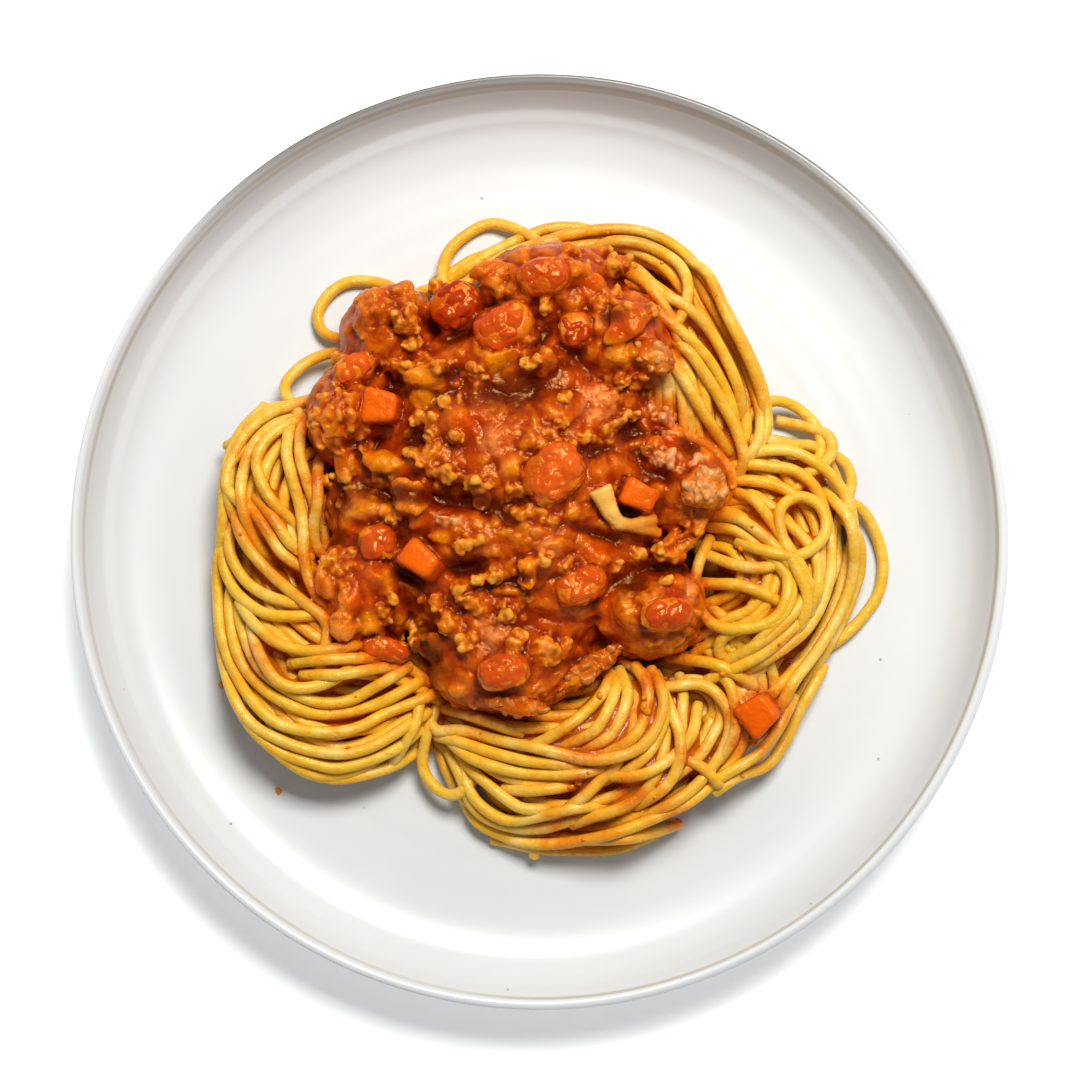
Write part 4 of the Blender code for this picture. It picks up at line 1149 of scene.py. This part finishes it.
def nestTops(line):
    x, y = line[:, 0], line[:, 1]
    skirt = pastaLook["skirt"]
    tops = np.zeros(len(line))
    for cx, cy, rx, ry, height in nests:
        inside = 1 - ((x - cx) / (rx + skirt)) ** 2 - ((y - cy) / (ry + skirt)) ** 2
        tops = np.maximum(tops, height * np.sqrt(np.clip(inside, 0, 1)))
    return tops + plateSize["floor"] / mm


# a strand goes down among the others at each end
def dived(laid):
    run = np.concatenate([[0], np.cumsum(np.linalg.norm(np.diff(laid[:, :2], axis=0), axis=1))])
    for far in (run, run[-1] - run):
        share = np.clip(1 - far / pastaLook["diveLength"], 0, 1)
        laid[:, 2] -= pastaLook["dive"] * share ** 1.6
    lowest = plateSize["floor"] / mm + pastaLook["diameter"] / 2 - 0.1
    laid[:, 2] = np.maximum(laid[:, 2], lowest)
    return laid


def layStrand(heap, route, rng, loose, lid):
    look = pastaLook
    line = spaced(route, look["step"]) * look["drawn"]
    wander = ruffle(np.concatenate([line, np.full((len(line), 1), rng.uniform(0, 90))], 1), 16, 2)
    line = line + sideways(line) * (wander * loose)[:, None]
    lids = np.minimum(lidsOver(line), np.maximum(nestTops(line) + lid, look["lowestLid"]))
    z = heap.rest(line, lids)
    # the routes were read for one height: a strand below it lies further out, one above it nearer the middle
    scale = (look["eye"] - z) / (look["eye"] - look["readHeight"])
    line = line * scale[:, None]
    line[:, 1] -= (z - look["level"]) * look["tilt"]
    lids = lidsOver(line)
    z = heap.rest(line, np.minimum(lids, np.maximum(nestTops(line) + lid, look["lowestLid"])))
    laid = dived(np.concatenate([line, z[:, None]], 1))
    heap.add(laid)
    return laid, lids


# only stretches that aren't deep inside the sauce
def shown(laid, lids):
    deep = (lids < noLid) & (laid[:, 2] < lids - pastaLook["buried"])
    keep = []
    run = []
    for i in range(len(laid)):
        near = deep[max(0, i - 3):i + 4].all()
        if near:
            if len(run) > 4:
                keep.append(laid[run])
            run = []
        else:
            run.append(i)
    if len(run) > 4:
        keep.append(laid[run])
    return keep


def tubes(name, lines, sides, thicker, rng):
    radius = pastaLook["diameter"] / 2 * mm * thicker
    points, faces, tone = [], [], []
    turns = np.arange(sides) * math.tau / sides
    start = 0
    for line in lines:
        line = line * mm
        way = np.gradient(line, axis=0)
        way /= np.linalg.norm(way, axis=1)[:, None]
        side = np.cross(way, (0, 0, 1))
        side /= np.maximum(np.linalg.norm(side, axis=1), 1e-6)[:, None]
        rise = np.cross(side, way)
        n = len(line)
        size = radius * (1 + 0.05 * ruffle(line / mm + rng.uniform(0, 50), 9, 2))
        # each end narrows a little to a cut face
        tip = way * radius * 0.25
        line = np.concatenate([line[:1] - tip[:1], line, line[-1:] + tip[-1:]])
        side = np.concatenate([side[:1], side, side[-1:]])
        rise = np.concatenate([rise[:1], rise, rise[-1:]])
        size = np.concatenate([size[:1] * 0.8, size, size[-1:] * 0.8])
        n += 2
        ring = (line[:, None] + side[:, None] * (np.cos(turns)[None, :, None] * size[:, None, None])
                + rise[:, None] * (np.sin(turns)[None, :, None] * size[:, None, None]))
        points.append(ring.reshape(-1, 3))
        k = np.arange(sides)
        for i in range(n - 1):
            a, b = start + i * sides + k, start + i * sides + (k + 1) % sides
            faces += np.stack([a, b, b + sides, a + sides], 1).tolist()
        faces.append((start + k[::-1]).tolist())
        faces.append((start + (n - 1) * sides + k).tolist())
        tone.append(np.full(n * sides, rng.random()))
        start += n * sides
    mesh = meshFrom(name, np.concatenate(points), faces)
    setValues(mesh, "tone", np.concatenate(tone))
    return mesh


def sauceOnPasta(mesh, heap):
    points = pointsOf(mesh)
    near = np.array([sauceTree.find_nearest(Vector(p))[3] or 1 for p in points]) / mm
    film = np.exp(-near / pastaLook["coat"])
    x, y = points[:, 0] / mm, points[:, 1] / mm
    for sx, sy, size, strength in smears:
        film = np.maximum(film, strength * np.exp(-((x - sx) ** 2 + (y - sy) ** 2) / (size * size)))
    setValues(mesh, "film", np.clip(film, 0, 1))
    # how much each point faces up, and how deep it lies in the heap: these set the painted light and shade
    # on the strands
    setValues(mesh, "crown", np.clip(normalsOf(mesh)[:, 2], 0, 1) ** 1.2)
    cell = heap.cells(points / mm)
    setValues(mesh, "depth", np.clip((heap.top[cell[:, 1], cell[:, 0]] - points[:, 2] / mm - 1.5) / 6, 0, 1))


def pastaMaterial():
    made, tree, shader = newMaterial("cooked_spaghetti", {
        "IOR": 1.45, "Specular IOR Level": 0.55, "Specular Tint": pastaLook["gleam"],
        "Subsurface Weight": 0.1, "Subsurface Radius": (1.0, 0.6, 0.15), "Subsurface Scale": 1.4 * mm})
    look = pastaLook
    place = tree.node("TexCoord", out="Object")
    tone, film, depth, crown = stored(tree, "tone", "film", "depth", "crown")
    broad = cloud(tree, 75, 3, 0.55, place)
    fine = cloud(tree, 380, 4, 0.6, place)
    speckle = cloud(tree, 950, 3, 0.65, place)
    base = (tone * 0.5 + broad * 0.9 - 0.2).clamp().mix(look["pale"], look["gold"])
    # the strands' sides are painted a deeper gold than their crowns: painted shade
    wet = (0.98 - crown * 1.35 + (broad - 0.5) * 1.4 + (fine - 0.5) * 0.9).clamp()
    base = (wet * 0.9).mix(base, look["side"])
    # strands deep in the heap are painted darker: painted shade
    base = (depth * 0.8).mix(base, look["hidden"])
    thin = (film * 1.6 + (fine - 0.5) * 1.3 + (broad - 0.5) * 1.6 - 0.1 - crown * 0.14).clamp()
    base = (thin * 0.85).mix(base, look["film"])
    thick = (film * 1.5 + (fine - 0.5) * 1.6 - 0.85).clamp()
    base = thick.mix(base, look["stain"])
    base = (speckle.step(0.55, 0.7) * 0.5).mix(base, look["side"])
    # pale flecks on the crowns: painted highlight
    base = (speckle.step(0.46, 0.32) * crown * 0.75).mix(base, look["fleck"])
    plug(base, shader, "Base Color")
    plug(fine * 0.2 + 0.15, shader, "Roughness")
    plug(bumpy(fine * 0.6 + speckle * 0.4, 0.75, 0.8 * mm), shader, "Normal")
    return made


def coreMaterial():
    made, tree, shader = newMaterial("pasta_in_shade", {"Roughness": 0.5})
    plug(cloud(tree, 140, 3).mix(*pastaLook["coreColours"]), shader, "Base Color")
    return made


filmLook = {
    "deep": 2.4,              # how far thin sauce lies under the strands' crowns, in millimetres
    "near": 0.4,              # the same where a smear of sauce fills the gaps
    "blur": 2.4,              # of the height map, in cells
    "margin": 9,              # of the heap's outline, in cells
    "drop": 9,                # how far the film falls towards that outline
    "inside": 0.93,
    "thinnest": 0.6,
    "ragged": 0.8,
    "seed": 5,
    "crumbs": 46,
    "colours": (paint(150, 66, 0), paint(220, 112, 6)),
    "lowestCrumb": 10,        # scattered ones below this would lie off the strands
    "crumbVoxel": 0.25 * mm,
}


def blurred(grid, spread):
    reach = int(spread * 3)
    weights = np.exp(-0.5 * (np.arange(-reach, reach + 1) / spread) ** 2)
    weights /= weights.sum()
    for _ in range(2):
        grid = np.apply_along_axis(np.convolve, 0, grid, weights, "same").T
    return grid


# one closed sheet of sauce in the gaps between strands, from the heap's height map
def filmMesh(heap):
    look, floor = filmLook, plateSize["floor"] / mm
    top = blurred(heap.top, look["blur"])
    level = top - look["deep"]
    side = heap.side
    axis = np.arange(side) * heap.cell - heap.reach
    x, y = np.meshgrid(axis, axis)
    for sx, sy, size, strength in smears:
        far = ((x - sx) ** 2 + (y - sy) ** 2) / (size * size)
        level = np.maximum(level, top - look["near"] - (1 - strength) * 1.2 - far * 0.9)
    ragged = np.array([[noise.noise(Vector((a, b, 2)) / 3.5) for a in axis] for b in axis])
    level += ragged * look["ragged"]
    # it keeps well inside the heap, whose sides show strands alone
    inner = blurred((heap.top > floor + 3).astype(float), look["margin"])
    level -= (1 - inner) * look["drop"]
    used = (level > floor + look["thinnest"]) & (inner > look["inside"])
    # no two cells meet at a corner alone
    for _ in range(4):
        cross = used[:-1, :-1] & used[1:, 1:] & ~used[1:, :-1] & ~used[:-1, 1:]
        used[1:, :-1] |= cross
        cross = used[1:, :-1] & used[:-1, 1:] & ~used[:-1, :-1] & ~used[1:, 1:]
        used[:-1, :-1] |= cross
    shape = bmesh.new()
    corners = {}

    def corner(j, i):
        if (j, i) not in corners:
            corners[j, i] = shape.verts.new((x[j, i] * mm, y[j, i] * mm, max(level[j, i], floor + 0.3) * mm))
        return corners[j, i]

    for j, i in zip(*np.nonzero(used[:-1, :-1])):
        shape.faces.new([corner(j, i), corner(j, i + 1), corner(j + 1, i + 1), corner(j + 1, i)])
    lowered = bmesh.ops.extrude_face_region(shape, geom=shape.faces[:], use_keep_orig=True)
    for element in lowered["geom"]:
        if isinstance(element, bmesh.types.BMVert):
            element.co.z = (floor - 0.4) * mm
    bmesh.ops.recalc_face_normals(shape, faces=shape.faces)
    mesh = bpy.data.meshes.new("sauce_between_strands")
    shape.to_mesh(mesh)
    shape.free()
    return mesh


def filmMaterial():
    made, tree, shader = newMaterial("thin_sauce", {"IOR": 1.45, "Specular IOR Level": 0.5})
    broad = cloud(tree, 160, 3)
    fine = cloud(tree, 700, 3)
    plug((broad * 1.6 - 0.3).clamp().mix(*filmLook["colours"]), shader, "Base Color")
    plug(fine * 0.3 + 0.1, shader, "Roughness")
    plug(bumpy(fine * 0.5 + broad * 0.5, 0.8, 0.8 * mm), shader, "Normal")
    return made


# Crumbs with a place of their own, in millimetres: (x, y, size), and patches of others: (x, y, reach, 0)
singleCrumbs = [
    (-80, -36, 1.3), (9, -61, 1.1), (-66, -63, 0.7), (26, -43, 1.2), (53, -50, 1.0), (45, -34, 0.8),
]
crumbPatches = [(48, 12, 9, 0), (-57, -20, 6, 0), (-8, -50, 14, 0), (34, -30, 8, 0)]


# crumbs of meat and tomato that lie loose on the strands, and one on the plate
def scatterCrumbs(heap):
    rng = random.Random(filmLook["seed"])
    places = list(singleCrumbs)
    while len(places) < filmLook["crumbs"]:
        sx, sy, size, _ = rng.choice(smears + crumbPatches)
        places.append((sx + rng.gauss(0, size * 0.8), sy + rng.gauss(0, size * 0.8), rng.uniform(0.35, 0.8)))
    shape = bmesh.new()
    for i, (x, y, size) in enumerate(places):
        cell = heap.cells(np.array([[x, y, 0.0]]))[0]
        z = heap.top[cell[1], cell[0]] + size * 0.3
        if i >= len(singleCrumbs) and z < filmLook["lowestCrumb"]:
            continue
        parts = rng.choice((1, 2, 3))
        for _ in range(parts):
            radii = [size * rng.uniform(0.7, 1.1) * mm for _ in range(3)]
            shift = [rng.uniform(-0.6, 0.6) * size * (parts > 1) for _ in range(2)]
            ball(shape, ((x + shift[0]) * mm, (y + shift[1]) * mm, z * mm), radii, rng.uniform(0, 3))
    mesh = bpy.data.meshes.new("loose_parts")
    shape.to_mesh(mesh)
    shape.free()
    mesh = remeshed(mesh, filmLook["crumbVoxel"])
    points = relaxed(mesh, pointsOf(mesh), 1)
    points += normalsOf(mesh) * (ruffle(points / mm, 0.9, 2) * 0.16 * mm)[:, None]
    putPoints(mesh, points)
    for name, value in (("peak", 0.5), ("rise", 0.6), ("orange", 0.5), ("tan", 0.3), ("grainy", 0.5)):
        setValues(mesh, name, np.full(len(points), value))
    addPiece("loose_crumbs", mesh, sauceFinish, "sauce")
    print("crumbs:", len(places))


def buildSpaghetti():
    look = pastaLook
    rng = random.Random(look["seed"])
    heap = Heap()
    core = coreMesh()
    heap.cover(treeOf(core))
    addPiece("spaghetti_core", core, coreMaterial(), "pasta", "spaghetti")
    print("core laid")
    under = []
    for count, spread, route in underRoutes:
        for i in range(count):
            line = spaced(route, look["coarseStep"]) * look["inward"]
            shift = (i / max(1, count - 1) - 0.5) * spread + rng.uniform(-0.8, 0.8)
            moved = line + sideways(line) * shift
            laid, lids = layStrand(heap, moved, rng, look["underLoose"], look["underLid"])
            under += shown(laid, lids)
    print("under layers:", len(under))
    over = []
    for route in topRoutes:
        laid, lids = layStrand(heap, route, rng, look["topLoose"], look["topLid"])
        over += shown(laid, lids)
    print("top strands:", len(over), "highest", round(float(heap.top.max()), 1))
    material = pastaMaterial()
    addPiece("sauce_between_strands", filmMesh(heap), filmMaterial(), "sauce")
    scatterCrumbs(heap)
    for name, lines, sides, thicker in (("spaghetti_under", under, look["underSides"], 1.0),
                                        ("spaghetti_top", over, look["topSides"], look["thicker"])):
        mesh = tubes(name, lines, sides, thicker, rng)
        sauceOnPasta(mesh, heap)
        addPiece(name, mesh, material, "pasta")
        print(name, len(mesh.polygons), "faces")


buildSpaghetti()


# floor, light and camera
studioLook = {
    "floor": (0.97, 0.97, 0.97, 1),
    "overhead": 0.12,         # strength of the fill light from above, and from the sides
    "horizon": 0.5,
    "window": 16.6,           # watts of the soft window light
    "windowPlace": (0.19, 0.52, 1.08),
    "windowSize": (0.52, 0.38),
    "fillColour": (0.93, 0.98, 1.04, 1),
    "windowColour": (1.0, 0.985, 0.95),
    "floorGlow": 0.3,
    "eyeFar": 0.7805,         # from the camera to the point it looks at
    "eyeTilt": 4.5,           # degrees away from straight down
    "eyeHeight": 0.0195,      # of the point it looks at
    "eyeShift": -0.00065,
    "lens": 104.4,
}


def buildStudio():
    look = studioLook
    mesh = bpy.data.meshes.new("floor")
    shape = bmesh.new()
    bmesh.ops.create_grid(shape, x_segments=1, y_segments=1, size=3)
    shape.to_mesh(mesh)
    shape.free()
    floor = bpy.data.objects.new("floor", mesh)
    bpy.context.scene.collection.objects.link(floor)
    mesh.materials.append(newMaterial("pale_floor", {
        "Base Color": look["floor"], "Roughness": 0.8, "Emission Color": (1, 1, 1, 1),
        "Emission Strength": look["floorGlow"]})[0])
    world = bpy.data.worlds.new("soft_fill")
    world.use_nodes = True
    sky = Wire(world.node_tree)
    _, _, up = sky.node("TexCoord", out="Generated").parts()
    level = (1 - up.maths("ABSOLUTE", up)).clamp()
    strength = level * (look["horizon"] - look["overhead"]) + look["overhead"]
    light = world.node_tree.nodes["Background"]
    light.inputs["Color"].default_value = look["fillColour"]
    plug(strength, light, "Strength")
    bpy.context.scene.world = world
    lamp = bpy.data.lights.new("window", "AREA")
    lamp.shape = "RECTANGLE"
    lamp.size, lamp.size_y = look["windowSize"]
    lamp.energy = look["window"]
    lamp.color = look["windowColour"]
    window = bpy.data.objects.new("window", lamp)
    window.location = look["windowPlace"]
    window.rotation_euler = (-Vector(look["windowPlace"])).to_track_quat("-Z", "Y").to_euler()
    bpy.context.scene.collection.objects.link(window)
    view = bpy.data.cameras.new("camera")
    view.lens = look["lens"]
    view.sensor_width = 36
    view.clip_start = 0.01
    eye = bpy.data.objects.new("camera", view)
    tilt = math.radians(look["eyeTilt"])
    near = look["eyeShift"] - look["eyeFar"] * math.sin(tilt)
    eye.location = (0, near, look["eyeHeight"] + look["eyeFar"] * math.cos(tilt))
    eye.rotation_euler = (tilt, 0, 0)
    bpy.context.scene.collection.objects.link(eye)
    bpy.context.scene.camera = eye
    bpy.context.scene.view_settings.view_transform = "Standard"


buildStudio()
print("studio set")
